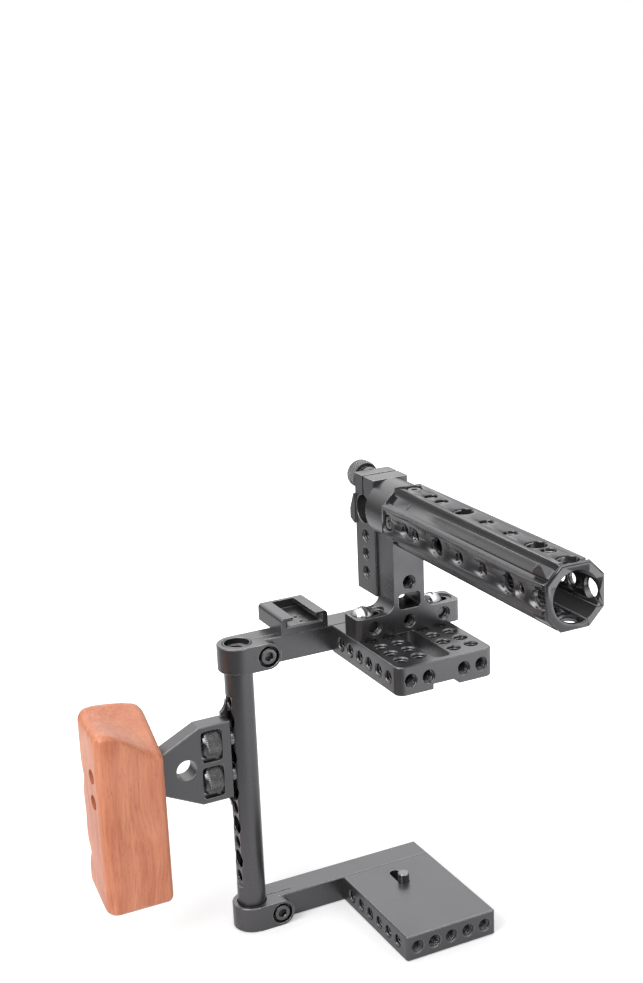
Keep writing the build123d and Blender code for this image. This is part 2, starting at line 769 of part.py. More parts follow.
def handle_barrel():
    face = make_face(Polyline(*barrel_section(), close=True))
    plane = Plane(origin=(handle_shift, barrel_rear, barrel_z), x_dir=(1, 0, 0), z_dir=(0, -1, 0))
    body = extrude(plane * face, -barrel_length)
    body = chamfer(body.edges().group_by(Axis.Y)[0], end_chamfer)
    body -= scoop_cutters(barrel_rear + end_ring, barrel_front)
    body += pads()
    body -= rod((handle_shift, barrel_front, barrel_z), (0, 1, 0), barrel_bore, barrel_length)
    wall = (barrel_af - barrel_bore) / 2
    cutters = []
    for outward in flat_directions():
        for y in barrel_quarters:
            cutters.append(quarter(on_flat(outward, barrel_front - y), outward, wall + 1.0))
        for y in barrel_three_eighths:
            cutters.append(three_eighths(on_flat(outward, barrel_front - y), outward, wall + 1.5))
    for place, outward in barrel_screw_places():
        top = on_flat(outward, place[1])
        cutters.append(rod(top, outward, barrel_screw_well_d, barrel_screw_head_h + barrel_screw_sink))
        cutters.append(rod(top, outward, barrel_screw_d + 2 * screw_play, wall + 1.0))
    return body - cutters


def barrel_screw_places():
    """Head seats and directions of the screws that hold the barrel to the stem's spigot."""
    seat = barrel_af / 2 - barrel_screw_head_h - barrel_screw_sink
    y = barrel_front - barrel_screw_set
    return [(on_flat(outward, y, seat), outward) for outward in ((0, 0, 1), (1, 0, 0), (-1, 0, 0))]


def barrel_screw(place, outward):
    top = [p + barrel_screw_head_h * d for p, d in zip(place, outward)]
    return cap_screw(tuple(top), outward, barrel_screw_head_d, barrel_screw_head_h, barrel_screw_d,
                     barrel_screw_length, 3.0)


def block_screw_heights():
    """Heights of the screws that hold the rod clamp block to the post."""
    low = foot_top + block_bottom - foot_thick + block_hole_lift
    return [low + 0.5 * pitch, low + 1.5 * pitch]


def rod_clamp_block():
    x = handle_shift
    bottom = foot_top + block_bottom - foot_thick
    half = block_width / 2
    body = box_between((x - half, post_front, bottom), (x + half, block_front, block_top))
    body = chamfer(body.edges().filter_by(Axis.Z), edge_break)
    body += clamp_lobe()
    cutters = [rod((x + lobe_width, rod_y, rod_z), (1, 0, 0), rod_d + 2 * rod_bore_gap, 2 * lobe_width)]
    cutters.append(box_between((x - half, rod_y - rod_slit / 2, rod_z),
                               (x + half, rod_y + rod_slit / 2, block_top)))
    for i in range(block_holes):
        place = (x - half, post_front + block_depth / 2, bottom + block_hole_lift + i * pitch)
        cutters.append(quarter(place, (-1, 0, 0), block_width, through=True))
    for z in block_screw_heights():
        place = (x, block_front, z)
        cutters.append(rod(place, (0, 1, 0), block_screw_head_d + 2 * screw_play,
                           block_screw_head_h + block_screw_sink))
        cutters.append(rod(place, (0, 1, 0), block_screw_d + 2 * screw_play, block_depth))
    knob_place = (x, block_front, knob_z)
    cutters.append(rod(knob_place, (0, 1, 0), knob_shank_d + 2 * thread_gap, knob_shank_length + 1))
    return body - cutters


def clamp_lobe():
    """Swelling of the front jaw around the rod's bore, seen from the side as Y and Z."""
    y = block_front
    low = rod_z - rod_d / 2
    high = rod_z + lobe_rise
    outline = [(y - 1, low - lobe_root), (y, low - lobe_root), (y + lobe_reach, low),
               (y + lobe_reach, low + lobe_flat), (y, high), (y - 1, high)]
    face = make_face(Plane.YZ * Polyline(*outline, close=True))
    return Pos(handle_shift - lobe_width / 2, 0, 0) * extrude(face, lobe_width, dir=(1, 0, 0))


def block_screw(z):
    place = (handle_shift, block_front - block_screw_sink, z)
    return cap_screw(place, (0, 1, 0), block_screw_head_d, block_screw_head_h, block_screw_d,
                     block_screw_length, 3.0)


def rod_clamp_knob():
    """Thumb screw that closes the rod clamp."""
    collar_r = knob_collar_d / 2
    head_r = knob_d / 2
    shank_r = knob_shank_d / 2
    start = slide_gap
    end = start + knob_collar_length + knob_length
    points = [(0, -knob_shank_length), (shank_r, -knob_shank_length), (shank_r, start), (collar_r, start)]
    points += [(collar_r, start + knob_collar_length), (head_r - 1, start + knob_collar_length)]
    points += [(head_r, start + knob_collar_length + 1), (head_r, end - 1), (head_r - 1, end), (0, end)]
    return turned(points, (handle_shift, block_front, knob_z), (0, 1, 0))


def all_pieces():
    """Every piece by its node name."""
    low_z = 0.0
    high_z = top_top - arm_height
    pieces = {
        "base_plate": base_plate(),
        "camera_screw": camera_screw(),
        "camera_screw_washer": camera_screw_washer(),
        "lower_arm": arm(low_z),
        "lower_clamp_screw": clamp_screw(low_z),
        "side_tube": side_tube(),
        "grip_bracket": grip_bracket(),
        "wooden_grip": wooden_grip(),
        "upper_arm": upper_arm(),
        "upper_clamp_screw": clamp_screw(high_z),
        "cheese_plate": cheese_plate(),
        "cold_shoe": cold_shoe(),
        "handle_stem": handle_stem(),
        "handle_barrel": handle_barrel(),
        "rod_clamp_block": rod_clamp_block(),
        "rod_clamp_knob": rod_clamp_knob(),
    }
    for level, z0 in (("lower", low_z), ("upper", high_z)):
        for side, place in zip(("left", "right"), arm_screw_places(z0 + arm_height / 2)):
            pieces[f"{level}_arm_screw_{side}"] = arm_screw(place)
    for level, z in zip(("lower", "upper"), wheel_places()):
        pieces[f"{level}_thumb_wheel"] = thumb_wheel(z)
        pieces[f"{level}_wheel_collar"] = wheel_collar(z)
    for level, z in zip(("lower", "upper"), grip_screw_heights()):
        pieces[f"grip_screw_{level}"] = grip_screw(z)
    for end, y in zip(("rear", "front"), shoe_screw_rows()):
        pieces[f"cold_shoe_screw_{end}"] = shoe_screw(y)
    for side, x in (("left", -2 * pitch), ("right", 2 * pitch)):
        pieces[f"dome_screw_{side}"] = dome_screw(x)
    for side, (place, outward) in zip(("top", "right", "left"), barrel_screw_places()):
        pieces[f"barrel_screw_{side}"] = barrel_screw(place, outward)
    for level, z in zip(("lower", "upper"), block_screw_heights()):
        pieces[f"block_screw_{level}"] = block_screw(z)
    return pieces


os.makedirs("parts", exist_ok=True)
for name, shape in all_pieces().items():
    export_step(shape, f"parts/{name}.step")
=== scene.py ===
import json
import math

import bmesh
import bpy
from mathutils import Matrix, Vector


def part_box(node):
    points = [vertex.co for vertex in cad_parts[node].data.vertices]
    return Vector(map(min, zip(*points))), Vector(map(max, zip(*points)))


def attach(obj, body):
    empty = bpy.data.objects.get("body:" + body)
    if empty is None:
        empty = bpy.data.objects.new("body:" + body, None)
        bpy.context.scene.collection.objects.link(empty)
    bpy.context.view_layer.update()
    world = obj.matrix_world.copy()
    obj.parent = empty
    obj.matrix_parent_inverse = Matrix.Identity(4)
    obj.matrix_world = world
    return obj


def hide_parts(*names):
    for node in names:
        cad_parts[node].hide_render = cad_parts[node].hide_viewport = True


bl_info = {
    "name": "Camera cage",
    "version": (1, 0, 0),
    "blender": (4, 5, 0),
    "location": "3D View > Sidebar > Cage",
    "description": "Dresses a camera cage with threads, screws, knurled wheels, a wooden grip and finishes",
    "category": "Object",
}

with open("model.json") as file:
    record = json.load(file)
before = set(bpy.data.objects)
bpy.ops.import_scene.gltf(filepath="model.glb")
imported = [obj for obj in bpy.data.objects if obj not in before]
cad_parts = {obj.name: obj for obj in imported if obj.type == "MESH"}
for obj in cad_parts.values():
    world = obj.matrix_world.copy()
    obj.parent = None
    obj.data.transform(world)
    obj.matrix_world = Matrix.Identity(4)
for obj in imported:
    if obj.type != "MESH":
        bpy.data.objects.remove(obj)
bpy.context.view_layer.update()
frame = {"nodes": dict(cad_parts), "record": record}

MM = 0.001
SAME_POINT = 2e-6  # metres; points nearer to each other than this are one
FRONT, REAR = (0, 1, 0), (0, -1, 0)
LEFT, RIGHT = (-1, 0, 0), (1, 0, 0)
UP, DOWN = (0, 0, 1), (0, 0, -1)


def number(name, text, default, **more):
    """A plain number."""
    return bpy.props.FloatProperty(name=name, description=text, default=default, **more)


def length(name, text, default_mm, **more):
    """A size in metres whose default is given in millimetres."""
    return number(name, text, default_mm * MM, unit="LENGTH", precision=5, **more)


def factor(name, text, default):
    """A share from 0 to 1."""
    return number(name, text, default, min=0.0, max=1.0, subtype="FACTOR")


def bearing(name, text, default):
    """An angle in radians."""
    return number(name, text, default, subtype="ANGLE", unit="ROTATION")


def tally(name, text, default, least):
    """A whole number with a lowest value."""
    return bpy.props.IntProperty(name=name, description=text, default=default, min=least)


def colour(name, text, default):
    """A colour of three parts from 0 to 1."""
    return bpy.props.FloatVectorProperty(
        name=name, description=text, default=default, subtype="COLOR", size=3, min=0.0, max=1.0)


# Settings that a user would change


class FinishSettings(bpy.types.PropertyGroup):
    """Colours and surface of the metal and the wood."""

    anodised: colour("Anodised aluminium", "Colour of the black anodised pieces", (0.105, 0.103, 0.107))
    # Painted highlight: this light edge colour stands partly for anodising worn through to bare metal and
    # partly for the light that the machined chamfers catch.
    anodised_worn_and_highlit_edge: colour("Worn and highlit edge", "Colour of anodising thinned along its edges", (0.85, 0.85, 0.86))
    anodised_roughness: factor("Anodised roughness", "Roughness of the bead-blasted surface", 0.29)
    oxide: colour("Black oxide", "Colour of the screws and wheels", (0.10, 0.10, 0.102))
    oxide_roughness: factor("Oxide roughness", "Roughness of the screws and wheels", 0.24)
    steel: colour("Bare steel", "Colour of the turned collars", (0.20, 0.20, 0.205))
    chrome: colour("Chrome", "Colour of the domed screws", (0.52, 0.52, 0.53))
    edge_radius: length("Edge radius", "Radius that the light sees on a machined edge", 0.38, min=0.0)
    wood_light: colour("Light wood", "Colour of the wide bands of the grain", (0.68, 0.25, 0.125))
    wood_dark: colour("Dark wood", "Colour of the fine lines of the grain", (0.42, 0.115, 0.05))
    wood_roughness: factor("Wood roughness", "Roughness of the oiled wood", 0.42)


class ThreadSettings(bpy.types.PropertyGroup):
    """Sizes of the tapped holes and of the ridges inside them."""

    spacing: length("Hole spacing", "Distance between neighbouring holes", 10.0)
    quarter_bore: length("Small bore", "Diameter of the small tapped bores", 6.35)
    quarter_lead: length("Small mouth", "Depth of the small bores' chamfer", 0.575)
    quarter_pitch: length("Small pitch", "Pitch of the small thread", 1.27)
    large_bore: length("Large bore", "Diameter of the large tapped bores", 9.5)
    large_lead: length("Large mouth", "Depth of the large bores' chamfer", 0.65)
    large_pitch: length("Large pitch", "Pitch of the large thread", 1.5875)
    ridge: length("Ridge", "Height of a thread's ridge", 0.5)
    steps: tally("Steps", "Steps of a ridge in one turn", 18, 8)


class BarrelSettings(bpy.types.PropertyGroup):
    """Groove behind the end ring of the handle's barrel."""

    end_ring: length("End ring", "Thickness of the barrel's end ring", 1.6)
    groove_width: length("Groove width", "Width of the groove", 2.2)
    groove_depth: length("Groove depth", "Depth of the groove under the flats", 1.7)


class ScrewSettings(bpy.types.PropertyGroup):
    """Sizes that the screws, wheels and knob share."""

    segments: tally("Segments", "Sides of a screw head", 48, 12)
    rim: length("Rim", "Rounding of a head's rim", 0.45)
    clamp_head: length("Clamp screw head", "Diameter of the clamp screws' heads", 8.6)
    clamp_key: length("Clamp screw key", "Width of the socket in the clamp screws", 4.2)
    arm_key: length("Arm screw key", "Width of the socket in the arm screws", 4.2)
    small_key: length("Small screw key", "Width of the socket in the small screws", 2.9)
    shoe_key: length("Shoe screw key", "Width of the socket in the shoe's screws", 2.0)
    shoe_shank: length("Shoe screw shank", "Diameter of the shoe screws' shanks", 3.0)
    dome_crown: length("Dome crown", "Height of a domed head's round part", 3.7)
    dome_rim: length("Dome rim", "Height of a domed head's straight rim", 0.8)
    dome_shank: length("Dome shank", "Half width of a domed screw's shank", 3.0)
    cross_length: length("Cross length", "Length of the cross in a domed head", 5.0)
    cross_width: length("Cross width", "Width of the cross in a domed head", 0.8)
    cross_depth: length("Cross depth", "Depth of the cross in a domed head", 1.1)
    knurl_rows: tally("Knurls", "Diamonds round a wheel", 46, 8)
    knurl_depth: length("Knurl depth", "Depth of the knurl's grooves", 0.6)


class GripSettings(bpy.types.PropertyGroup):
    """Shape of the wooden grip."""

    rings: tally("Rings", "Rings from the heel to the top", 40, 8)
    around: tally("Points around", "Points of a ring", 72, 24)
    rear_corner: length("Rear corner", "Radius of the outer corner on the palm side", 6.5)
    inner_corner: length("Inner corner", "Radius of the inner corner on the palm side", 3.2)
    front_corner: length("Front corner", "Radius of the finger side's corners", 5.0)
    edge: length("Edge", "Rounding of the top and bottom edges", 4.0)
    finger_groove: length("Finger groove", "Depth of the deepest finger groove", 3.8)
    finger_span: length("Finger span", "How far a finger groove runs out upwards and downwards", 6.5)
    crown: length("Crown", "Height of the finger side's top above the heel", 105.8)
    shoulder: length("Shoulder", "How far the top's outer edge lies under the crown", 2.4)
    rear_drop: length("Rear drop", "How far the palm side's outer corner lies under the crown", 6.6)
    rest_fall: length("Rest fall", "How far the palm side falls from its outer to its inner corner", 17.0)
    front_fall: length("Front fall", "How far the finger side falls to its inner corner", 5.4)
    rest_dip: length("Rest dip", "Hollow of the thumb rest", 3.4)
    heel_cut: length("Heel cut", "Height of the cut under the fingers", 9.0)
    screw_hole: length("Screw hole", "Diameter of the screws' counterbores", 7.9)
    screw_hole_depth: length("Screw hole depth", "Depth of the screws' counterbores", 8.0)


class StageSettings(bpy.types.PropertyGroup):
    """Camera, floor and light."""

    camera_place: bpy.props.FloatVectorProperty(
        name="Camera place", description="Where the camera stands", default=(-0.35762, -0.64027, 0.44847),
        subtype="TRANSLATION", unit="LENGTH", size=3)
    camera_turn: bearing("Turn", "Camera's turn to the right", 0.455)
    camera_dip: bearing("Dip", "Camera's tilt downwards", 0.284)
    camera_roll: bearing("Roll", "Camera's roll", -0.041)
    focal: number("Focal length", "Focal length of the camera", 56.54)
    shift_x: number("Shift X", "Sideways shift of the lens", -0.00525)
    shift_y: number("Shift Y", "Upward shift of the lens", 0.00832)
    floor: colour("Floor", "Colour of the floor", (0.86, 0.86, 0.87))
    floor_reach: length("Floor reach", "Radius of the round floor", 1100.0)
    shadow_reach: length("Shadow reach", "Distance at which the floor starts to turn white", 150.0)
    glow_reach: length("Glow reach", "Distance at which the floor has run into the white room", 360.0)
    floor_lift: factor("Floor lift", "White that the eye gets from the floor beside its own light", 0.3)
    floor_gleam: factor("Floor gleam", "White that mirrored looks get from the floor", 0.2)
    dim: factor("Dim side", "Brightness of the room's dim side in mirrored looks", 0.15)
    dim_turn: bearing("Dim turn", "Turn of the room's dim side", 1.12)
    dim_fall: number("Dim fall", "Downward slope of the room's dim side", 0.5)
    low_dim: factor("Low dim", "Strength of the room's low walls in mirrored looks", 0.3)
    overhead: number("Overhead", "Strength of the room's roof in mirrored looks", 2.4)
    far_dim: factor("Far dim", "Strength of the floor's far left part in mirrored looks", 0.6)
    far_turn: bearing("Far turn", "Turn of the floor's far left part", 2.5)
    bright: number("Bright side", "Strength of the floor's bright side", 11.0)
    bright_turn: bearing("Bright turn", "Turn of the floor's bright side", -0.93)
    world_light: number("World light", "Strength of the even light", 0.75)
    back_light: number("Back light", "Power of the window behind on the right", 3.7, unit="POWER")
    left_light: number("Left light", "Power of the raised panel on the left", 6.0, unit="POWER")


def settings(name):
    """One group of settings of the scene."""
    return getattr(bpy.context.scene, "cage_" + name)


# Trees: geometry and shaders are built with the same helpers


def feed(tree, node, values):
    """Links or sets a node's inputs."""
    for key, value in values.items():
        socket = node.inputs[key]
        if isinstance(value, bpy.types.NodeSocket):
            tree.links.new(value, socket)
        else:
            socket.default_value = value


def add(tree, kind, values=None, **options):
    """Adds a node, sets its options, feeds its inputs and returns its outputs."""
    node = tree.nodes.new(kind)
    for key, value in options.items():
        setattr(node, key, value)
    feed(tree, node, values or {})
    return node.outputs


def calc(tree, operation, *values):
    """Result of a Math node."""
    return add(tree, "ShaderNodeMath", dict(enumerate(values)), operation=operation)[0]


def times(tree, first, *others):
    """Product of several numbers."""
    for other in others:
        first = calc(tree, "MULTIPLY", first, other)
    return first


def vector_calc(tree, operation, *values):
    """Outputs of a Vector Math node: a vector, and a number called Value."""
    return add(tree, "ShaderNodeVectorMath", dict(enumerate(values)), operation=operation)


def new_geometry_tree(name, inputs):
    """Starts a Geometry Nodes tree with a geometry input, named inputs and a geometry output."""
    tree = bpy.data.node_groups.new(name, "GeometryNodeTree")
    for label, kind in {"Geometry": "Geometry", **inputs}.items():
        tree.interface.new_socket(label, in_out="INPUT", socket_type="NodeSocket" + kind)
    tree.interface.new_socket("Geometry", in_out="OUTPUT", socket_type="NodeSocketGeometry")
    return tree, add(tree, "NodeGroupInput")


def end_geometry_tree(tree, given, piece):
    """Stands a piece at each point, facing outwards, and ends in Realize Instances and Set Material."""
    outward = add(tree, "GeometryNodeInputNamedAttribute", {"Name": "outward"}, data_type="FLOAT_VECTOR")[0]
    facing = add(tree, "FunctionNodeAlignRotationToVector", {"Vector": outward}, axis="Z")[0]
    placed = add(tree, "GeometryNodeInstanceOnPoints",
                 {"Points": given["Geometry"], "Instance": piece, "Rotation": facing})[0]
    plain = add(tree, "GeometryNodeRealizeInstances", {"Geometry": placed})[0]
    done = add(tree, "GeometryNodeSetMaterial", {"Geometry": plain, "Material": given["Material"]})[0]
    add(tree, "NodeGroupOutput", {"Geometry": done})


def new_object(name, data):
    """Puts a mesh, lamp or camera in the scene as an object at the origin."""
    obj = bpy.data.objects.new(name, data)
    bpy.context.scene.collection.objects.link(obj)
    return obj


def keep_result(obj):
    """Turns what an object's modifiers make into its plain mesh."""
    graph = bpy.context.evaluated_depsgraph_get()
    mesh = bpy.data.meshes.new_from_object(obj.evaluated_get(graph))
    obj.modifiers.clear()
    obj.data = mesh


def tidy_normals(mesh):
    """Merges doubles and turns the faces outwards."""
    work = bmesh.new()
    work.from_mesh(mesh)
    bmesh.ops.remove_doubles(work, verts=work.verts, dist=SAME_POINT)
    bmesh.ops.recalc_face_normals(work, faces=work.faces)
    work.to_mesh(mesh)
    work.free()


def smooth_by_angle(mesh, degrees=35.0):
    """Smooth shading with sharp edges where the faces meet at more than an angle."""
    mesh.shade_smooth()
    mesh.set_sharp_from_angle(angle=math.radians(degrees))


def grow(name, places, tree, values):
    """Runs a Geometry Nodes tree on places with directions and keeps the result as one closed mesh."""
    mesh = bpy.data.meshes.new(name)
    mesh.from_pydata([place for place, _ in places], [], [])
    outward = mesh.attributes.new("outward", "FLOAT_VECTOR", "POINT")
    for item, (_, direction) in zip(outward.data, places):
        item.vector = direction
    obj = new_object(name, mesh)
    modifier = obj.modifiers.new(tree.name, "NODES")
    modifier.node_group = tree
    for item in tree.interface.items_tree:
        if item.in_out == "INPUT" and item.name in values:
            modifier[item.identifier] = values[item.name]
    keep_result(obj)
    tidy_normals(obj.data)
    return obj


made = {}


def once(maker):
    """What a maker makes, made only the first time."""
    if maker not in made:
        made[maker] = maker()
    return made[maker]


# Finishes


def new_material(name):
    """Starts a material and returns it with its tree, its main shader and places in metres on the object."""
    material = bpy.data.materials.new(name)
    material.use_nodes = True
    tree = material.node_tree
    return material, tree, tree.nodes["Principled BSDF"], add(tree, "ShaderNodeTexCoord")["Object"]


def noise(tree, place, scale, detail=3.0):
    """Noise of a number of patches to the metre."""
    return add(tree, "ShaderNodeTexNoise", {"Vector": place, "Scale": scale, "Detail": detail})[0]


def spread(tree, value, low, high, new_low, new_high):
    """Maps a range of a value to another."""
    return add(tree, "ShaderNodeMapRange", {"Value": value, "From Min": low, "From Max": high,
                                            "To Min": new_low, "To Max": new_high})[0]


def over_noise(tree, pattern, low, high):
    """Runs from a low to a high value over the range that noise mostly takes."""
    return spread(tree, pattern, 0.3, 0.7, low, high)


def mixed(tree, share, first, second):
    """Colour between two colours."""
    return add(tree, "ShaderNodeMix", {0: share, 6: first, 7: second}, data_type="RGBA")[2]


def shade(base, *strengths):
    """Colour times one number or one for each part, none above 1, with full opacity."""
    red, green, blue = strengths if len(strengths) == 3 else (strengths or (1.0,)) * 3
    return min(1.0, red * base[0]), min(1.0, green * base[1]), min(1.0, blue * base[2]), 1.0


def worn_and_highlit_edges(tree, radius):
    """Rounded normal, and a share that is 1 along the edges, where the rounded normal leaves the flat one."""
    rounded = add(tree, "ShaderNodeBevel", {"Radius": radius}, samples=12)[0]
    flat = add(tree, "ShaderNodeNewGeometry")["Normal"]
    match = vector_calc(tree, "DOT_PRODUCT", rounded, flat)["Value"]
    return rounded, spread(tree, match, 0.985, 0.90, 0.0, 1.0)


def anodised_finish():
    """Black anodised aluminium: fine bead-blasted grain, and light edges that are partly anodising worn
    through and partly a painted highlight of the chamfers.
    """
    look = settings("finish")
    material, tree, shader, place = new_material("black_anodised_aluminium")
    rounded, edge = worn_and_highlit_edges(tree, look.edge_radius)
    patches = noise(tree, place, 55.0)
    grain = noise(tree, place, 5200.0, 2.0)
    edge_patchiness = spread(tree, noise(tree, place, 420.0), 0.35, 0.75, 0.3, 0.8)
    base = mixed(tree, times(tree, patches, grain, 0.5), shade(look.anodised), shade(look.anodised, 1.5))
    rough = look.anodised_roughness
    feed(tree, shader, {
        # Painted highlight: the edges are lightened towards the light edge colour in uneven patches, partly
        # as wear and partly as the light that the chamfers catch.
        "Base Color": mixed(tree, times(tree, edge, edge_patchiness), base, shade(look.anodised_worn_and_highlit_edge)),
        "Roughness": over_noise(tree, patches, rough - 0.05, rough + 0.07),
        "Metallic": 0.85,
        "Normal": add(tree, "ShaderNodeBump", {"Strength": 0.04, "Distance": 0.05 * MM, "Height": grain,
                                               "Normal": rounded})[0]})
    return material


def oxide_finish():
    """Black oxide on steel: darker and glossier than the aluminium, with oily patches and lighter edges that
    are partly wear and partly a painted highlight.
    """
    look = settings("finish")
    material, tree, shader, place = new_material("black_oxide_steel")
    rounded, edge = worn_and_highlit_edges(tree, 0.5 * look.edge_radius)
    patches = noise(tree, place, 240.0)
    base = mixed(tree, patches, shade(look.oxide), shade(look.oxide, 1.6))
    rough = look.oxide_roughness
    feed(tree, shader, {
        # Painted highlight: the edges are lightened to four times the oxide colour, partly as wear and partly
        # as the light that the rounded rims catch.
        "Base Color": mixed(tree, times(tree, edge, 0.6), base, shade(look.oxide, 4.0)),
        "Roughness": over_noise(tree, patches, rough - 0.07, rough + 0.10),
        "Metallic": 0.9,
        "Normal": rounded})
    return material


def steel_finish():
    """Turned bare steel with fine marks of the tool."""
    look = settings("finish")
    material, tree, shader, place = new_material("turned_steel")
    marks = noise(tree, place, 3000.0, 2.0)
    patches = noise(tree, place, 300.0)
    feed(tree, shader, {
        "Base Color": mixed(tree, patches, shade(look.steel, 0.8), shade(look.steel)),
        "Roughness": over_noise(tree, marks, 0.12, 0.24),
        "Metallic": 1.0,
        "Normal": add(tree, "ShaderNodeBump", {"Strength": 0.12, "Distance": 0.03 * MM, "Height": marks})[0]})
    return material


def chrome_finish():
    """Polished chrome with faint smears."""
    look = settings("finish")
    material, tree, shader, place = new_material("polished_chrome")
    smears = noise(tree, place, 350.0)
    feed(tree, shader, {
        "Base Color": mixed(tree, smears, shade(look.chrome, 0.9), shade(look.chrome)),
        "Roughness": over_noise(tree, smears, 0.14, 0.22),
        "Metallic": 1.0,
        "Normal": worn_and_highlit_edges(tree, 0.5 * look.edge_radius)[0]})
    return material


def wood_finish():
    """Oiled reddish hardwood: upright grain with wide bands, fine pores and a wavy figure."""
    look = settings("finish")
    material, tree, shader, place = new_material("oiled_hardwood")
    sway = add(tree, "ShaderNodeTexNoise", {"Vector": place, "Scale": 14.0, "Detail": 1.0})["Color"]
    centred = vector_calc(tree, "SUBTRACT", sway, (0.5, 0.5, 0.5))[0]
    bent = vector_calc(tree, "MULTIPLY", centred, (0.016, 0.016, 0.016))[0]
    moved = vector_calc(tree, "ADD", place, bent)[0]
    grain, short_grain = [add(tree, "ShaderNodeMapping", {"Vector": moved, "Scale": (1.0, 1.0, along)})[0]
                          for along in (0.055, 0.09)]
    bands = noise(tree, grain, 170.0)
    lines = noise(tree, grain, 900.0, 4.0)
    pores = noise(tree, short_grain, 2600.0, 2.0)
    clouds = noise(tree, place, 32.0, 2.0)
    wide = spread(tree, bands, 0.36, 0.66, 0.0, 1.0)
    fine = spread(tree, lines, 0.40, 0.70, 0.0, 0.65)
    pore = spread(tree, pores, 0.60, 0.74, 0.0, 0.55)
    cloud = spread(tree, clouds, 0.42, 0.70, 0.0, 0.45)
    warm = mixed(tree, wide, shade(look.wood_light), shade(look.wood_light, 0.80, 0.66, 0.60))
    lined = mixed(tree, fine, warm, shade(look.wood_dark))
    cloudy = mixed(tree, cloud, lined, shade(look.wood_light, 1.12, 1.25, 1.45))
    rough = look.wood_roughness
    feed(tree, shader, {
        "Base Color": mixed(tree, pore, cloudy, shade(look.wood_dark, 0.55)),
        "Roughness": over_noise(tree, lines, rough - 0.06, rough + 0.12),
        "Coat Weight": 0.4,
        "Coat Roughness": 0.3,
        "Normal": add(tree, "ShaderNodeBump", {"Strength": 0.16, "Distance": 0.1 * MM,
                                               "Height": calc(tree, "SUBTRACT", lines, pore)})[0]})
    return material


FINISHES = {"black_aluminium": anodised_finish, "black_steel": oxide_finish, "bright_steel": steel_finish,
            "chrome": chrome_finish, "wood": wood_finish}


def slot_of(node):
    """Name of the finish that the record gives a CAD node."""
    for part in frame["record"]["subparts"]:
        if part["node"] == node:
            return part["material_slot"]
    raise ValueError("no finish for " + node)


def finish_of(node):
    """Material of a CAD node."""
    return once(FINISHES[slot_of(node)])


def body_of(node):
    """Name of the body that a CAD node belongs to."""
    for body, members in frame["record"]["behaviour"]["bodies"].items():
        if node in members:
            return body
    raise ValueError("no body holds " + node)


def stand_for(obj, *nodes):
    """Gives a piece the body of the CAD nodes that it stands for, and hides them."""
    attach(obj, body_of(nodes[0]))
    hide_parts(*nodes)


def middle_of(node):
    """Middle of a CAD node's box."""
    low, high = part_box(node)
    return (low + high) / 2


class CAGE_OT_metal_finish(bpy.types.Operator):
    """Give every CAD piece of the cage its finish"""

    bl_idname = "cage.metal_finish"
    bl_label = "Metal finish"

    def execute(self, context):
        for node, obj in frame["nodes"].items():
            for slot in obj.material_slots:
                slot.material = finish_of(node)
        return {"FINISHED"}


# Threads in the tapped holes


HOLES_ALONG, HOLES_ACROSS = 6, 5  # tapped holes along the plates' sides and across the base's rear face
# Distances of the barrel's small and large holes behind its front end, in millimetres
BARREL_SMALL = (23.0, 33.0, 73.0, 93.0, 122.5)
BARREL_LARGE = (53.0, 113.0, 136.5)
# The stem's rear face behind the clamp block's rear, and its holes' heights over its underside
STEM_BACK, STEM_LOW, STEM_HIGH = 16.5 * MM, 5.75 * MM, 26.5 * MM
# Half the clamp block's width, and its holes' distance from its rear and its underside
BLOCK_HALF, BLOCK_BACK, BLOCK_RISE = 10.0 * MM, 10.375 * MM, 10.5 * MM


def thread_tree():
    """Tree that puts a helical ridge into the hole at each point."""
    tree, given = new_geometry_tree("tapped_thread", {
        "Bore": "Float", "Lead": "Float", "Pitch": "Float", "Turns": "Float", "Ridge": "Float",
        "Steps": "Int", "Material": "Material"})
    radius = times(tree, given["Bore"], 0.5)
    run = times(tree, given["Pitch"], given["Turns"])
    helix = add(tree, "GeometryNodeCurveSpiral", {
        "Resolution": given["Steps"], "Rotations": given["Turns"], "Start Radius": radius,
        "End Radius": radius, "Height": run})[0]
    section = add(tree, "GeometryNodeCurvePrimitiveCircle", {"Resolution": 4, "Radius": given["Ridge"]})[0]
    ridge = add(tree, "GeometryNodeCurveToMesh",
                {"Curve": helix, "Profile Curve": section, "Fill Caps": True})[0]
    depth = calc(tree, "ADD", calc(tree, "ADD", run, given["Lead"]), given["Ridge"])
    shift = add(tree, "ShaderNodeCombineXYZ", {"Z": times(tree, depth, -1.0)})[0]
    sunk = add(tree, "GeometryNodeTransform", {"Geometry": ridge, "Translation": shift})[0]
    end_geometry_tree(tree, given, sunk)
    return tree


def centred_row(count, spacing):
    """Places of a row of holes about its middle."""
    return [(i - (count - 1) / 2) * spacing for i in range(count)]


def side_pair(left, right, y, z):
    """A hole in a piece's left side and its twin in the right side."""
    return [((left, y, z), LEFT), ((right, y, z), RIGHT)]


def base_holes(spacing):
    """Tapped holes in the base's rear face and sides."""
    low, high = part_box("base_plate")
    z = (low.z + high.z) / 2
    holes = [((x, low.y, z), REAR) for x in centred_row(HOLES_ACROSS, spacing)]
    for y in centred_row(HOLES_ALONG, spacing):
        holes += side_pair(low.x, high.x, y, z)
    return holes


def top_plate_holes(spacing):
    """Tapped holes in the top plate's rear face and sides, and those in its top face."""
    low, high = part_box("cheese_plate")
    z = (low.z + high.z) / 2
    columns = [-2 * spacing, -spacing, spacing, 2 * spacing]
    rows = centred_row(HOLES_ALONG, spacing)
    sides = [((x, low.y, z), REAR) for x in columns]
    for y in rows:
        sides += side_pair(low.x, high.x, y, z)
    upright = [((x, y, high.z), UP) for y in rows[:-2] + rows[-1:] for x in columns]
    return sides, upright


def barrel_holes(distances):
    """Tapped holes in the barrel's four flats, at distances behind its front end in millimetres."""
    low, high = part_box("handle_barrel")
    middle = (low + high) / 2
    holes = []
    for distance in distances:
        y = high.y - distance * MM
        holes += [((middle.x, y, high.z), UP), ((middle.x, y, low.z), DOWN)]
        holes += side_pair(low.x, high.x, y, middle.z)
    return holes


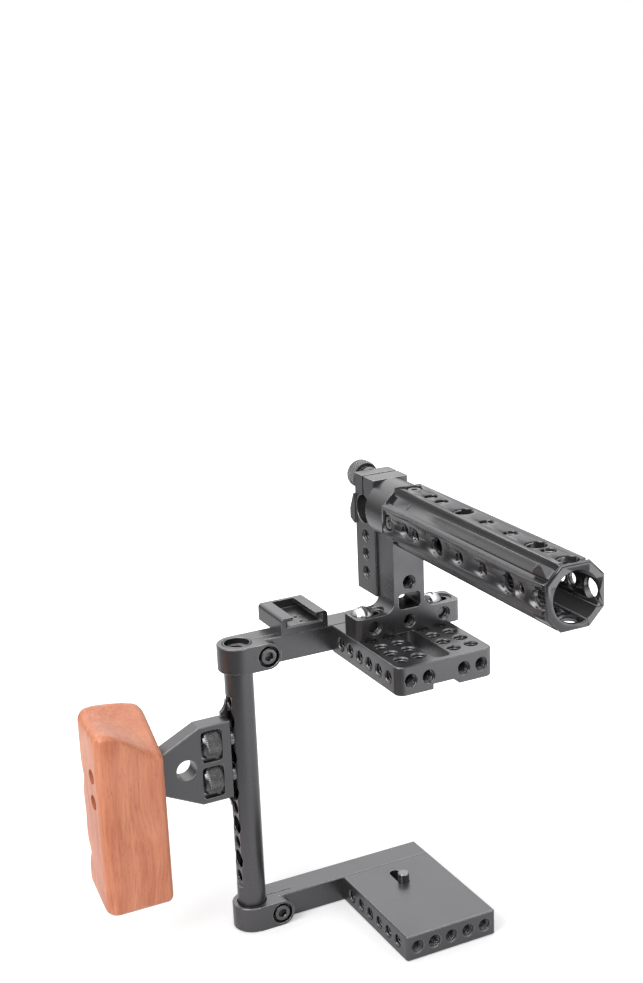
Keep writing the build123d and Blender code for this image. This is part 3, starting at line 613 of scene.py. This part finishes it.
def stem_holes(spacing):
    """Deep tapped holes in the rear of the foot and above its window, and two shallow ones beside."""
    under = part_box("handle_stem")[0].z
    axis = middle_of("handle_barrel").x
    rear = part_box("rod_clamp_block")[0].y - STEM_BACK
    deep = [((axis, rear, under + height), REAR) for height in (STEM_LOW, STEM_HIGH)]
    shallow = [((axis + side * 2 * spacing, rear, under + STEM_LOW), REAR) for side in (-1, 1)]
    return deep, shallow


def block_holes(spacing):
    """Tapped holes in the left and right faces of the rod clamp block."""
    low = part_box("rod_clamp_block")[0]
    axis = middle_of("rod_clamp_block").x
    holes = []
    for i in range(3):
        height = low.z + BLOCK_RISE + i * spacing
        holes += side_pair(axis - BLOCK_HALF, axis + BLOCK_HALF, low.y + BLOCK_BACK, height)
    return holes


class CAGE_OT_threads(bpy.types.Operator):
    """Put thread ridges into the tapped holes of the plates and the handle"""

    bl_idname = "cage.threads"
    bl_label = "Threads"

    def execute(self, context):
        sizes = settings("threads")
        sides, upright = top_plate_holes(sizes.spacing)
        deep, shallow = stem_holes(sizes.spacing)
        # Name of the piece, the node that it rides with, its holes, its size of thread and its turns
        jobs = [("base_plate_threads", "base_plate", base_holes(sizes.spacing), "quarter", 3.6),
                ("top_plate_side_threads", "cheese_plate", sides, "quarter", 3.6),
                ("top_plate_threads", "cheese_plate", upright, "quarter", 9.5),
                ("barrel_small_threads", "handle_barrel", barrel_holes(BARREL_SMALL), "quarter", 1.5),
                ("barrel_large_threads", "handle_barrel", barrel_holes(BARREL_LARGE), "large", 0.8),
                ("stem_deep_threads", "handle_stem", deep, "quarter", 4.0),
                ("stem_shallow_threads", "handle_stem", shallow, "quarter", 1.3),
                ("block_threads", "rod_clamp_block", block_holes(sizes.spacing), "quarter", 5.0)]
        for name, node, places, size, turns in jobs:
            obj = grow(name, places, once(thread_tree), {
                "Bore": getattr(sizes, size + "_bore"), "Lead": getattr(sizes, size + "_lead"),
                "Pitch": getattr(sizes, size + "_pitch"), "Turns": turns, "Ridge": sizes.ridge,
                "Steps": sizes.steps, "Material": finish_of(node)})
            smooth_by_angle(obj.data, 50.0)
            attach(obj, body_of(node))
        return {"FINISHED"}


# Turned pieces: screws, wheels, the knob and the tools that cut


def turned_tree():
    """Tree that turns an outline about +Z at each point, with hexagonal and knurled stretches."""
    tree, given = new_geometry_tree("turned_piece", {
        "Outline": "Object", "Segments": "Int", "Knurls": "Int", "Knurl Depth": "Float",
        "Material": "Material"})
    outline = add(tree, "GeometryNodeObjectInfo", {"Object": given["Outline"]})["Geometry"]
    rows = add(tree, "GeometryNodeAttributeDomainSize", {"Geometry": outline})["Point Count"]
    grid = add(tree, "GeometryNodeMeshGrid", {
        "Size X": 1.0, "Size Y": 1.0, "Vertices X": calc(tree, "ADD", given["Segments"], 1.0),
        "Vertices Y": rows})["Mesh"]
    point = add(tree, "GeometryNodeInputPosition")[0]
    across, along, _ = add(tree, "ShaderNodeSeparateXYZ", {"Vector": point})
    turn = times(tree, calc(tree, "ADD", across, 0.5), 2 * math.pi)
    row = calc(tree, "ROUND", times(tree, calc(tree, "ADD", along, 0.5), calc(tree, "SUBTRACT", rows, 1.0)))
    spot = sampled(tree, outline, row, point, "FLOAT_VECTOR")
    radius, _, height = add(tree, "ShaderNodeSeparateXYZ", {"Vector": spot})
    hexed, knurled = [
        sampled(tree, outline, row, add(tree, "GeometryNodeInputNamedAttribute", {"Name": name})[0], "FLOAT")
        for name in ("hexed", "knurled")]
    sixth = math.pi / 3
    turned_on = calc(tree, "FLOORED_MODULO", calc(tree, "ADD", turn, sixth / 2), sixth)
    within = calc(tree, "SUBTRACT", turned_on, sixth / 2)
    corner = calc(tree, "DIVIDE", 1.0, calc(tree, "COSINE", within))
    stretch = calc(tree, "ADD", 1.0, times(tree, hexed, calc(tree, "SUBTRACT", corner, 1.0)))
    groove = knurl_groove(tree, turn, height, radius, given["Knurls"])
    cut = times(tree, groove, given["Knurl Depth"], knurled)
    final = calc(tree, "SUBTRACT", times(tree, radius, stretch), cut)
    moved = add(tree, "ShaderNodeCombineXYZ", {
        "X": times(tree, final, calc(tree, "COSINE", turn)),
        "Y": times(tree, final, calc(tree, "SINE", turn)), "Z": height})[0]
    body = add(tree, "GeometryNodeSetPosition", {"Geometry": grid, "Position": moved})[0]
    closed = add(tree, "GeometryNodeMergeByDistance", {"Geometry": body, "Distance": SAME_POINT})[0]
    end_geometry_tree(tree, given, closed)
    return tree


def sampled(tree, outline, row, value, kind):
    """Value at one row of an outline."""
    return add(tree, "GeometryNodeSampleIndex", {"Geometry": outline, "Value": value, "Index": row},
               data_type=kind)[0]


def knurl_groove(tree, turn, height, radius, count):
    """Depth share of a diamond knurl: 1 in its crossed grooves, 0 on the flats of its diamonds."""
    round_share = calc(tree, "DIVIDE", times(tree, turn, count), 2 * math.pi)
    size = calc(tree, "DIVIDE", times(tree, radius, 2 * math.pi), count)
    climb = calc(tree, "DIVIDE", height, size)
    first, second = [calc(tree, "PINGPONG", calc(tree, slope, round_share, climb), 0.5)
                     for slope in ("ADD", "SUBTRACT")]
    rise = calc(tree, "DIVIDE", calc(tree, "MINIMUM", first, second), 0.42)
    return calc(tree, "SUBTRACT", 1.0, calc(tree, "MINIMUM", rise, 1.0))


def outline_object(rows):
    """Object of an outline's points: radius, height, and shares of hexagon and knurl where there are any."""
    mesh = bpy.data.meshes.new("outline")
    mesh.from_pydata([(row[0], 0.0, row[1]) for row in rows], [], [])
    for column, name in ((2, "hexed"), (3, "knurled")):
        share = mesh.attributes.new(name, "FLOAT", "POINT")
        for item, row in zip(share.data, rows):
            item.value = row[column] if len(row) > column else 0.0
    return new_object("outline", mesh)


def turned(name, rows, places, node, segments=96, knurls=30, knurl_depth=0.0):
    """One outline turned at several places, with the finish of a CAD node."""
    outline = outline_object(rows)
    obj = grow(name, places, once(turned_tree), {
        "Outline": outline, "Segments": segments, "Knurls": knurls, "Knurl Depth": knurl_depth,
        "Material": finish_of(node)})
    bpy.data.objects.remove(outline)
    return obj


def turn_pieces(name, rows, places, nodes, *shape):
    """Turned piece that stands for its CAD nodes."""
    obj = turned(name, rows, places, nodes[0], *shape)
    smooth_by_angle(obj.data)
    stand_for(obj, *nodes)
    return obj


def cut_with(obj, tools):
    """Takes tools away from an object and keeps the result as its plain mesh."""
    for tool in tools:
        cut = obj.modifiers.new(tool.name, "BOOLEAN")
        cut.object = tool
        cut.solver = "EXACT"
    keep_result(obj)
    for tool in tools:
        bpy.data.objects.remove(tool)


def keep_smoothness(obj, source):
    """Gives a cut copy the exact surface directions of the piece that it was cut from."""
    carry = obj.modifiers.new("directions", "DATA_TRANSFER")
    carry.object = source
    carry.use_loop_data = True
    carry.data_types_loops = {"CUSTOM_NORMAL"}
    carry.loop_mapping = "POLYINTERP_NEAREST"
    carry.use_max_distance = True
    carry.max_distance = 0.02 * MM
    keep_result(obj)


class CAGE_OT_barrel_groove(bpy.types.Operator):
    """Turn the narrow groove behind the barrel's end ring"""

    bl_idname = "cage.barrel_groove"
    bl_label = "Barrel groove"

    def execute(self, context):
        sizes = settings("barrel")
        low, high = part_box("handle_barrel")
        middle = (low + high) / 2
        outside = high.z - low.z
        floor = outside / 2 - sizes.groove_depth
        rows = [(floor, 0.0), (outside, 0.0), (outside, sizes.groove_width), (floor, sizes.groove_width),
                (floor, 0.0)]
        place = (middle.x, low.y + sizes.end_ring, middle.z)
        ring = turned("groove_ring", rows, [(place, FRONT)], "handle_barrel")
        source = frame["nodes"]["handle_barrel"]
        barrel = new_object("grooved_barrel", source.data.copy())
        tidy_normals(barrel.data)
        cut_with(barrel, [ring])
        smooth_by_angle(barrel.data, 25.0)
        keep_smoothness(barrel, source)
        stand_for(barrel, "handle_barrel")
        return {"FINISHED"}


def rounded_rim(radius, rim, steps=3):
    """Rows that round a head's upper rim from its flat top, at height 0, to its side."""
    turns = [0.5 * math.pi * i / steps for i in range(steps + 1)]
    return [(radius - rim + rim * math.sin(turn), rim * math.cos(turn) - rim) for turn in turns]


def cap_rows(head_d, head_h, key, shank_d, reach, rim):
    """Outline of a socket cap screw, its head's top at height 0."""
    socket = 0.6 * head_h
    rows = [(0.0, -socket - 0.2 * key), (0.47 * key, -socket), (0.5 * key, -socket, 1.0),
            (0.5 * key, -0.1 * key, 1.0), (0.58 * key, 0.0, 0.35)]
    rows += rounded_rim(0.5 * head_d, rim)
    return rows + [(0.5 * head_d, -head_h), (0.5 * shank_d, -head_h),
                   (0.5 * shank_d, 0.4 * shank_d - reach), (0.42 * shank_d, -reach), (0.0, -reach)]


def screw_place(node, outward):
    """Middle of the face of a screw's box that faces outwards."""
    low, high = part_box(node)
    place = (low + high) / 2
    for axis in range(3):
        if outward[axis]:
            place[axis] = high[axis] if outward[axis] > 0 else low[axis]
    return tuple(place), outward


def screw_size(node, outward):
    """Head diameter and whole length of a screw from its box."""
    low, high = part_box(node)
    size = high - low
    along = [axis for axis in range(3) if outward[axis]][0]
    return max(size[axis] for axis in range(3) if axis != along), size[along]


def cap_screws(name, screws, head_mm, shank_mm, key, head=None):
    """Like cap screws on one body, from their nodes with the way each head faces.

    The height of the heads and the width of the shanks are in millimetres.
    """
    sizes = settings("screws")
    nodes = list(screws)
    head_d, whole = screw_size(nodes[0], screws[nodes[0]])
    rows = cap_rows(head or head_d, head_mm * MM, key, shank_mm * MM, whole, sizes.rim)
    places = [screw_place(node, outward) for node, outward in screws.items()]
    turn_pieces(name, rows, places, nodes, sizes.segments)


class CAGE_OT_cap_screws(bpy.types.Operator):
    """Make the socket cap screws of the arms, barrel, block and grip"""

    bl_idname = "cage.cap_screws"
    bl_label = "Cap screws"

    def execute(self, context):
        sizes = settings("screws")
        small = sizes.small_key
        for level in ("lower", "upper"):
            cap_screws(level + "_clamp_cap_screw", {level + "_clamp_screw": REAR}, 5, 5, sizes.clamp_key,
                       sizes.clamp_head)
            arm = {level + "_arm_screw_" + side: FRONT for side in ("left", "right")}
            cap_screws(level + "_arm_cap_screws", arm, 5, 5, sizes.arm_key)
        barrel = {"barrel_screw_top": UP, "barrel_screw_right": RIGHT, "barrel_screw_left": LEFT}
        cap_screws("barrel_cap_screws", barrel, 2, 4, small)
        cap_screws("block_cap_screws", {"block_screw_lower": FRONT, "block_screw_upper": FRONT}, 4, 4, small)
        cap_screws("grip_cap_screws", {"grip_screw_lower": LEFT, "grip_screw_upper": LEFT}, 4, 4, small)
        return {"FINISHED"}


class CAGE_OT_shoe_screws(bpy.types.Operator):
    """Make the countersunk screws in the cold shoe's floor"""

    bl_idname = "cage.shoe_screws"
    bl_label = "Shoe screws"

    def execute(self, context):
        sizes = settings("screws")
        nodes = ["cold_shoe_screw_rear", "cold_shoe_screw_front"]
        head_d, whole = screw_size(nodes[0], UP)
        key, shank = sizes.shoe_key, 0.5 * sizes.shoe_shank
        cone = 0.5 * head_d - shank
        rows = [(0.0, -0.75 * key), (0.48 * key, -0.6 * key), (0.5 * key, -0.6 * key, 1.0),
                (0.5 * key, 0.0, 1.0), (0.5 * head_d, 0.0), (shank, -cone), (shank, -whole), (0.0, -whole)]
        places = [screw_place(node, UP) for node in nodes]
        turn_pieces("shoe_countersunk_screws", rows, places, nodes, sizes.segments)
        return {"FINISHED"}


def square_bar(place, half, node):
    """Square tool about a place, with the finish of the node that it cuts."""
    corners = [Vector((x, y, z)) for x in (-half[0], half[0]) for y in (-half[1], half[1])
               for z in (-half[2], half[2])]
    faces = [(0, 1, 3, 2), (4, 6, 7, 5), (0, 4, 5, 1), (2, 3, 7, 6), (0, 2, 6, 4), (1, 5, 7, 3)]
    mesh = bpy.data.meshes.new("bar")
    mesh.from_pydata([Vector(place) + corner for corner in corners], [], faces)
    mesh.materials.append(finish_of(node))
    tidy_normals(mesh)
    return new_object("bar", mesh)


class CAGE_OT_dome_screws(bpy.types.Operator):
    """Make the two domed screws that hold the handle's foot"""

    bl_idname = "cage.dome_screws"
    bl_label = "Dome screws"

    def execute(self, context):
        sizes = settings("screws")
        nodes = ["dome_screw_left", "dome_screw_right"]
        head_d, whole = screw_size(nodes[0], UP)
        radius, crown, shank = 0.5 * head_d, sizes.dome_crown, sizes.dome_shank
        ball = (radius ** 2 + crown ** 2) / (2 * crown)
        steps = 14
        turns = [math.asin(radius / ball) * i / steps for i in range(steps + 1)]
        under = -crown - sizes.dome_rim
        rows = [(ball * math.sin(turn), ball * (math.cos(turn) - 1)) for turn in turns]
        rows += [(radius, under), (shank, under), (shank, -whole), (0.0, -whole)]
        places = [screw_place(node, UP) for node in nodes]
        domes = turn_pieces("dome_screw_pair", rows, places, nodes, sizes.segments)
        long, wide = 0.5 * sizes.cross_length, 0.5 * sizes.cross_width
        cut_with(domes, [square_bar(place, (*half, sizes.cross_depth), nodes[0])
                         for place, _ in places for half in ((long, wide), (wide, long))])
        smooth_by_angle(domes.data)
        return {"FINISHED"}


def knurled_rows(low, high, radius, chamfer, steps):
    """Rows of a knurled drum with chamfered ends, from its low end to its high end."""
    rows = [(radius - chamfer, low)]
    for i in range(steps + 1):
        rows.append((radius, low + chamfer + (high - low - 2 * chamfer) * i / steps, 0.0, 1.0))
    return rows + [(radius - chamfer, high)]


class CAGE_OT_thumb_wheels(bpy.types.Operator):
    """Make the two knurled wheels in the grip bracket, with their screws"""

    bl_idname = "cage.thumb_wheels"
    bl_label = "Thumb wheels"

    def execute(self, context):
        sizes = settings("screws")
        shank, break_edge, chamfer = 3.125 * MM, 0.5 * MM, 1.1 * MM
        neck, drum, end = 2.05 * MM, 2.95 * MM, 11.65 * MM
        for level in ("lower", "upper"):
            node = level + "_thumb_wheel"
            low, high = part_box(node)
            wheel, reach = 0.5 * (high.z - low.z), high.x - low.x
            rows = [(0.0, 0.0), (0.72 * shank, 0.1 * MM), (shank, break_edge), (shank, neck),
                    (0.8 * wheel, neck)]
            rows += knurled_rows(drum, end, wheel, chamfer, 60)
            rows += [(shank, end), (shank, reach - break_edge), (shank - break_edge, reach), (0.0, reach)]
            place = (low.x, (low.y + high.y) / 2, (low.z + high.z) / 2)
            turn_pieces(level + "_knurled_wheel", rows, [(place, RIGHT)], [node],
                        6 * sizes.knurl_rows, sizes.knurl_rows, sizes.knurl_depth)
        return {"FINISHED"}


class CAGE_OT_rod_knob(bpy.types.Operator):
    """Make the knurled knob of the rod clamp, with its collar and screw"""

    bl_idname = "cage.rod_knob"
    bl_label = "Rod clamp knob"

    def execute(self, context):
        sizes = settings("screws")
        low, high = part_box("rod_clamp_knob")
        head, whole = (high.x - low.x) / 2, high.y - low.y
        shank, collar, waist, break_edge = 2.45 * MM, 5.5 * MM, 4.8 * MM, 0.5 * MM
        start, neck = 17.05 * MM, 23.05 * MM
        face, dish = head - 1.6 * MM, head - 2.2 * MM
        rows = [(0.0, 0.0), (shank - break_edge, 0.0), (shank, break_edge), (shank, start),
                (collar - break_edge, start), (collar, start + break_edge), (collar, start + 2.6 * MM),
                (waist, start + 2.9 * MM), (waist, neck)]
        rows += knurled_rows(neck, whole, head, 0.7 * MM, 36)
        rows += [(face, whole), (dish, whole - break_edge), (0.0, whole - break_edge)]
        place = ((low.x + high.x) / 2, low.y, (low.z + high.z) / 2)
        turn_pieces("rod_clamp_thumb_knob", rows, [(place, FRONT)], ["rod_clamp_knob"],
                    6 * sizes.knurl_rows, sizes.knurl_rows, sizes.knurl_depth)
        return {"FINISHED"}


# The wooden grip


FINGER_GROOVES = ((70.0, 0.70), (45.0, 0.25), (19.5, 1.0))  # millimetres over the heel, share of the depth
SMALLEST_CORNER = 0.3 * MM
EDGE_STEPS = 5  # steps of the rounding of the top and bottom edges
FACE_RINGS, FACE_STEP = 5, 2.4 * MM  # rings inside the top and the bottom face, and the way between them
# Shares of the grip's width or depth: where the shoulder ends, where the thumb rest and the heel's cut start
SHOULDER_END, REST_START, CUT_START = 0.3, 0.15, 0.25


def grip_section(t, sizes, low, high):
    """Box of the grip at a height share, hollowed in front where the fingers lie."""
    height = t * sizes.crown
    hollow = sum(sizes.finger_groove * depth * math.exp(-((height - middle * MM) / sizes.finger_span) ** 2)
                 for middle, depth in FINGER_GROOVES)
    return low.x, high.x, low.y, high.y - hollow


def rounded_box_point(share, box, corners, inset):
    """Point on a rectangle's outline with four corner radii, shrunk by an inset."""
    x0, x1, y0, y1 = box[0] + inset, box[1] - inset, box[2] + inset, box[3] - inset
    radii = [max(corner - inset, SMALLEST_CORNER) for corner in corners]
    ends = ((x1, y0, -1, 1, -90), (x1, y1, -1, -1, 0), (x0, y1, 1, -1, 90), (x0, y0, 1, 1, 180))

    def on_corner(index, degrees):
        (x, y, side_x, side_y, start), radius = ends[index % 4], radii[index % 4]
        turn = math.radians(start + degrees)
        return x + radius * (side_x + math.cos(turn)), y + radius * (side_y + math.sin(turn))

    side = int(share * 4)
    part = share * 4 - side
    if part <= 0.5:
        return on_corner(side, 180 * part)
    (ax, ay), (bx, by) = on_corner(side, 90), on_corner(side + 1, 0)
    way = (part - 0.5) * 2
    return ax + (bx - ax) * way, ay + (by - ay) * way


def grip_top(x, y, box, top, sizes):
    """Height of the grip's top: nearly level in front, falling in a long S along the palm side."""
    x0, x1, y0, y1 = box
    inner = min(max((x - x0) / (x1 - x0), 0.0), 1.0)
    rear = min(max((y1 - y) / (y1 - y0), 0.0), 1.0)
    shoulder = sizes.shoulder * max(0.0, 1 - inner / SHOULDER_END) ** 2
    front_height = top - shoulder - sizes.front_fall * inner ** 3
    share = max(0.0, (inner - REST_START) / (1 - REST_START))
    rear_height = top - sizes.rear_drop - sizes.rest_fall * share * share * (3 - 2 * share)
    dip = sizes.rest_dip * math.sin(math.pi * inner) * math.sin(math.pi * rear)
    return front_height + (rear_height - front_height) * rear ** 1.1 - dip


def grip_profile(edge, rings):
    """Rings of the grip from its heel to its top: height share, inset, and lift over the heel or the top."""
    quarter = [0.5 * math.pi * i / EDGE_STEPS for i in range(EDGE_STEPS + 1)]
    face = [edge + (i + 0.5) * FACE_STEP for i in range(FACE_RINGS)]
    profile = [(0.0, inset, 0.0) for inset in reversed(face)]
    profile += [(0.0, edge * (1 - math.sin(turn)), edge * (1 - math.cos(turn))) for turn in quarter]
    profile += [(i / rings, 0.0, edge) for i in range(1, rings)]
    profile += [(1.0, edge * (1 - math.cos(turn)), -edge * (1 - math.sin(turn))) for turn in quarter]
    return profile + [(1.0, inset, 0.0) for inset in face]


def grip_mesh(sizes):
    """Closed mesh of the grip, ring by ring from its heel to its thumb rest."""
    low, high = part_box("wooden_grip")
    count, edge = sizes.around, sizes.edge
    corners = (sizes.inner_corner, sizes.front_corner, sizes.front_corner, sizes.rear_corner)
    profile = grip_profile(edge, sizes.rings)
    verts = []
    for t, inset, lift in profile:
        box = grip_section(t, sizes, low, high)
        for j in range(count):
            x, y = rounded_box_point(j / count, box, corners, inset)
            top = grip_top(x, y, box, low.z + sizes.crown, sizes)
            ahead = (y - box[2]) / (box[3] - box[2])
            heel = low.z + sizes.heel_cut * max(0.0, ahead - CUT_START) / (1 - CUT_START)
            if t == 0.0:
                z = heel + lift
            elif t == 1.0:
                z = top + lift
            else:
                z = heel + edge + (top - edge - heel - edge) * t
            verts.append((x, y, z))
    last = (len(profile) - 1) * count
    faces = [(i + j, i + (j + 1) % count, i + count + (j + 1) % count, i + count + j)
             for i in range(0, last, count) for j in range(count)]
    faces += [tuple(reversed(range(count))), tuple(range(last, last + count))]
    mesh = bpy.data.meshes.new("carved_grip")
    mesh.from_pydata(verts, [], faces)
    tidy_normals(mesh)
    return mesh


class CAGE_OT_wooden_grip(bpy.types.Operator):
    """Carve the wooden grip and drill it for its two screws"""

    bl_idname = "cage.wooden_grip"
    bl_label = "Wooden grip"

    def execute(self, context):
        sizes = settings("grip")
        grip = new_object("carved_wooden_grip", grip_mesh(sizes))
        grip.data.materials.append(finish_of("wooden_grip"))
        radius, depth, clear = sizes.screw_hole / 2, sizes.screw_hole_depth, 1.0 * MM
        rows = [(0.0, clear), (radius, clear), (radius, -depth), (0.0, -depth)]
        bores = []
        for level in ("lower", "upper"):
            place = middle_of("grip_screw_" + level)
            place.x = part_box("wooden_grip")[0].x
            bores.append(turned("bore_" + level, rows, [(tuple(place), LEFT)], "wooden_grip"))
        cut_with(grip, bores)
        smooth_by_angle(grip.data, 40.0)
        stand_for(grip, "wooden_grip")
        return {"FINISHED"}


# The stage


# Start and end of each change in mirrored looks, toward a side or upwards: in the room as a share of the
# way, on the floor in metres from its middle
ROOM_DIM, ROOM_LOW, ROOM_ROOF = (0.0, 0.6), (0.0, 0.35), (0.5, 0.75)
FLOOR_NEAR, FLOOR_FAR, FLOOR_BRIGHT = (0.1, 0.35), (0.43, 0.58), (0.3, 0.6)
# Places and sizes of the lamps, and the point that they look at, in metres
LAMP_TARGET = (-0.05, 0.0, 0.12)
WINDOW_PLACE, WINDOW_SIZE = (0.4, 1.3, 0.75), (2.0, 0.7)
PANEL_PLACE, PANEL_SIZE = (-0.8, -0.3, 0.75), (0.6, 0.6)
FLOOR_SIDES = 96
FLOOR_DROP = 0.2 * MM  # how far the floor lies under the cage
WHITE = (1.0, 1.0, 1.0, 1.0)


def ray_share(tree, *kinds):
    """Share that is 1 for the given kinds of rays and 0 for all others."""
    path = add(tree, "ShaderNodeLightPath")
    share = path[kinds[0]]
    for kind in kinds[1:]:
        share = calc(tree, "MAXIMUM", share, path[kind])
    return share


def between(tree, share, first, second):
    """Number between two numbers."""
    return calc(tree, "ADD", times(tree, share, calc(tree, "SUBTRACT", second, first)), first)


def toward_side(tree, vector, turn, fall=0.0):
    """How far a direction or a place lies toward a side of the room, which may slope down by a fall."""
    side = Vector((-math.sin(turn), -math.cos(turn), -fall)).normalized()
    return vector_calc(tree, "DOT_PRODUCT", vector, side)["Value"]


def room_strength(tree, sizes):
    """Strength that is 1 to the eye, the white room with its dim side in mirrored looks, and even light."""
    direction = add(tree, "ShaderNodeTexCoord")["Generated"]
    height = add(tree, "ShaderNodeSeparateXYZ", {"Vector": direction})["Z"]
    side = toward_side(tree, direction, sizes.dim_turn, sizes.dim_fall)
    look = times(tree, spread(tree, side, *ROOM_DIM, 1.0, sizes.dim),
                 spread(tree, height, *ROOM_LOW, sizes.low_dim, 1.0),
                 spread(tree, height, *ROOM_ROOF, 1.0, sizes.overhead))
    mirrored = between(tree, ray_share(tree, "Is Glossy Ray"), sizes.world_light, look)
    return between(tree, ray_share(tree, "Is Camera Ray", "Is Transmission Ray"), mirrored, 1.0)


def floor_material(sizes):
    """Matt floor that keeps shadows near the middle, runs into the white room and dims in mirrored looks."""
    material, tree, shader, place = new_material("pale_floor")
    grain = noise(tree, place, 40.0)
    distance = vector_calc(tree, "LENGTH", place)["Value"]
    sides = times(tree, *[
        spread(tree, toward_side(tree, place, turn), *reach, 1.0, strength)
        for turn, reach, strength in ((sizes.dim_turn, FLOOR_NEAR, sizes.dim),
                                      (sizes.far_turn, FLOOR_FAR, sizes.far_dim),
                                      (sizes.bright_turn, FLOOR_BRIGHT, sizes.bright))])
    mirrored = ray_share(tree, "Is Glossy Ray")
    look = between(tree, mirrored, 1.0, sides)
    pale = mixed(tree, grain, shade(sizes.floor), shade(sizes.floor, 1.02))
    glow = spread(tree, distance, sizes.shadow_reach, sizes.glow_reach, sizes.floor_lift, 1.0)
    seen = between(tree, mirrored, ray_share(tree, "Is Camera Ray", "Is Transmission Ray"), sizes.floor_gleam)
    feed(tree, shader, {
        "Base Color": mixed(tree, look, (0.0, 0.0, 0.0, 1.0), pale),
        "Roughness": 0.6,
        "Specular IOR Level": 0.1,
        "Emission Color": WHITE,
        "Emission Strength": times(tree, glow, seen, look)})
    return material


def add_lamp(name, place, size, power):
    """Soft rectangular lamp that looks at the cage."""
    data = bpy.data.lights.new(name, "AREA")
    data.shape = "RECTANGLE"
    data.size, data.size_y = size
    data.energy = power
    lamp = new_object(name, data)
    lamp.location = place
    lamp.rotation_euler = (Vector(LAMP_TARGET) - Vector(place)).to_track_quat("-Z", "Y").to_euler()


def add_camera(sizes):
    """Camera at its place, turned, dipped and rolled."""
    turn, dip, roll = sizes.camera_turn, sizes.camera_dip, sizes.camera_roll
    right = Vector((math.cos(turn), -math.sin(turn), 0.0))
    ahead = Vector((math.sin(turn) * math.cos(dip), math.cos(turn) * math.cos(dip), -math.sin(dip)))
    up = right.cross(ahead)
    rolled_right = math.cos(roll) * right + math.sin(roll) * up
    rolled_up = -math.sin(roll) * right + math.cos(roll) * up
    axes = Matrix((rolled_right, rolled_up, -ahead)).transposed()
    data = bpy.data.cameras.new("stage_camera")
    data.sensor_width, data.lens = 36.0, sizes.focal
    data.shift_x, data.shift_y = sizes.shift_x, sizes.shift_y
    data.clip_start, data.clip_end = 0.01, 50.0
    camera = new_object("stage_camera", data)
    camera.matrix_world = Matrix.Translation(Vector(sizes.camera_place)) @ axes.to_4x4()
    bpy.context.scene.camera = camera


class CAGE_OT_stage(bpy.types.Operator):
    """Set up the floor, the soft light and the camera"""

    bl_idname = "cage.stage"
    bl_label = "Stage"

    def execute(self, context):
        sizes = settings("stage")
        scene = context.scene
        scene.view_settings.view_transform = "Standard"
        mesh = bpy.data.meshes.new("floor")
        turns, reach = [2 * math.pi * i / FLOOR_SIDES for i in range(FLOOR_SIDES)], sizes.floor_reach
        rim = [(reach * math.cos(turn), reach * math.sin(turn), 0.0) for turn in turns]
        mesh.from_pydata(rim, [], [tuple(range(FLOOR_SIDES))])
        floor = new_object("floor", mesh)
        floor.location.z = -FLOOR_DROP
        floor.data.materials.append(floor_material(sizes))
        world = bpy.data.worlds.new("soft_room")
        world.use_nodes = True
        tree = world.node_tree
        feed(tree, tree.nodes["Background"], {"Color": WHITE, "Strength": room_strength(tree, sizes)})
        scene.world = world
        add_lamp("back_window", WINDOW_PLACE, WINDOW_SIZE, sizes.back_light)
        add_lamp("left_panel", PANEL_PLACE, PANEL_SIZE, sizes.left_light)
        add_camera(sizes)
        return {"FINISHED"}


class CAGE_PT_panel(bpy.types.Panel):
    """Buttons that make the cage piece by piece, and its settings"""

    bl_idname = "CAGE_PT_panel"
    bl_label = "Camera cage"
    bl_space_type = "VIEW_3D"
    bl_region_type = "UI"
    bl_category = "Cage"

    def draw(self, context):
        for operator in OPERATORS:
            self.layout.operator(operator.bl_idname)
        for name, _ in SETTINGS:
            group = settings(name)
            box = self.layout.box()
            for key in group.__annotations__:
                box.prop(group, key)


SETTINGS = (("finish", FinishSettings), ("threads", ThreadSettings), ("barrel", BarrelSettings),
            ("screws", ScrewSettings), ("grip", GripSettings), ("stage", StageSettings))
OPERATORS = (CAGE_OT_stage, CAGE_OT_metal_finish, CAGE_OT_threads, CAGE_OT_barrel_groove,
             CAGE_OT_cap_screws, CAGE_OT_shoe_screws, CAGE_OT_dome_screws, CAGE_OT_thumb_wheels,
             CAGE_OT_rod_knob, CAGE_OT_wooden_grip)


def register():
    """Makes the settings, operators and panel known to Blender."""
    for name, group in SETTINGS:
        bpy.utils.register_class(group)
        setattr(bpy.types.Scene, "cage_" + name, bpy.props.PointerProperty(type=group))
    for operator in OPERATORS:
        bpy.utils.register_class(operator)
    bpy.utils.register_class(CAGE_PT_panel)


def unregister():
    """Takes them away again."""
    bpy.utils.unregister_class(CAGE_PT_panel)
    for operator in reversed(OPERATORS):
        bpy.utils.unregister_class(operator)
    for name, group in reversed(SETTINGS):
        delattr(bpy.types.Scene, "cage_" + name)
        bpy.utils.unregister_class(group)


def main():
    """Makes the whole cage."""
    register()
    for operator in OPERATORS:
        family, action = operator.bl_idname.split(".")
        getattr(getattr(bpy.ops, family), action)()


if __name__ == "__main__":
    main()
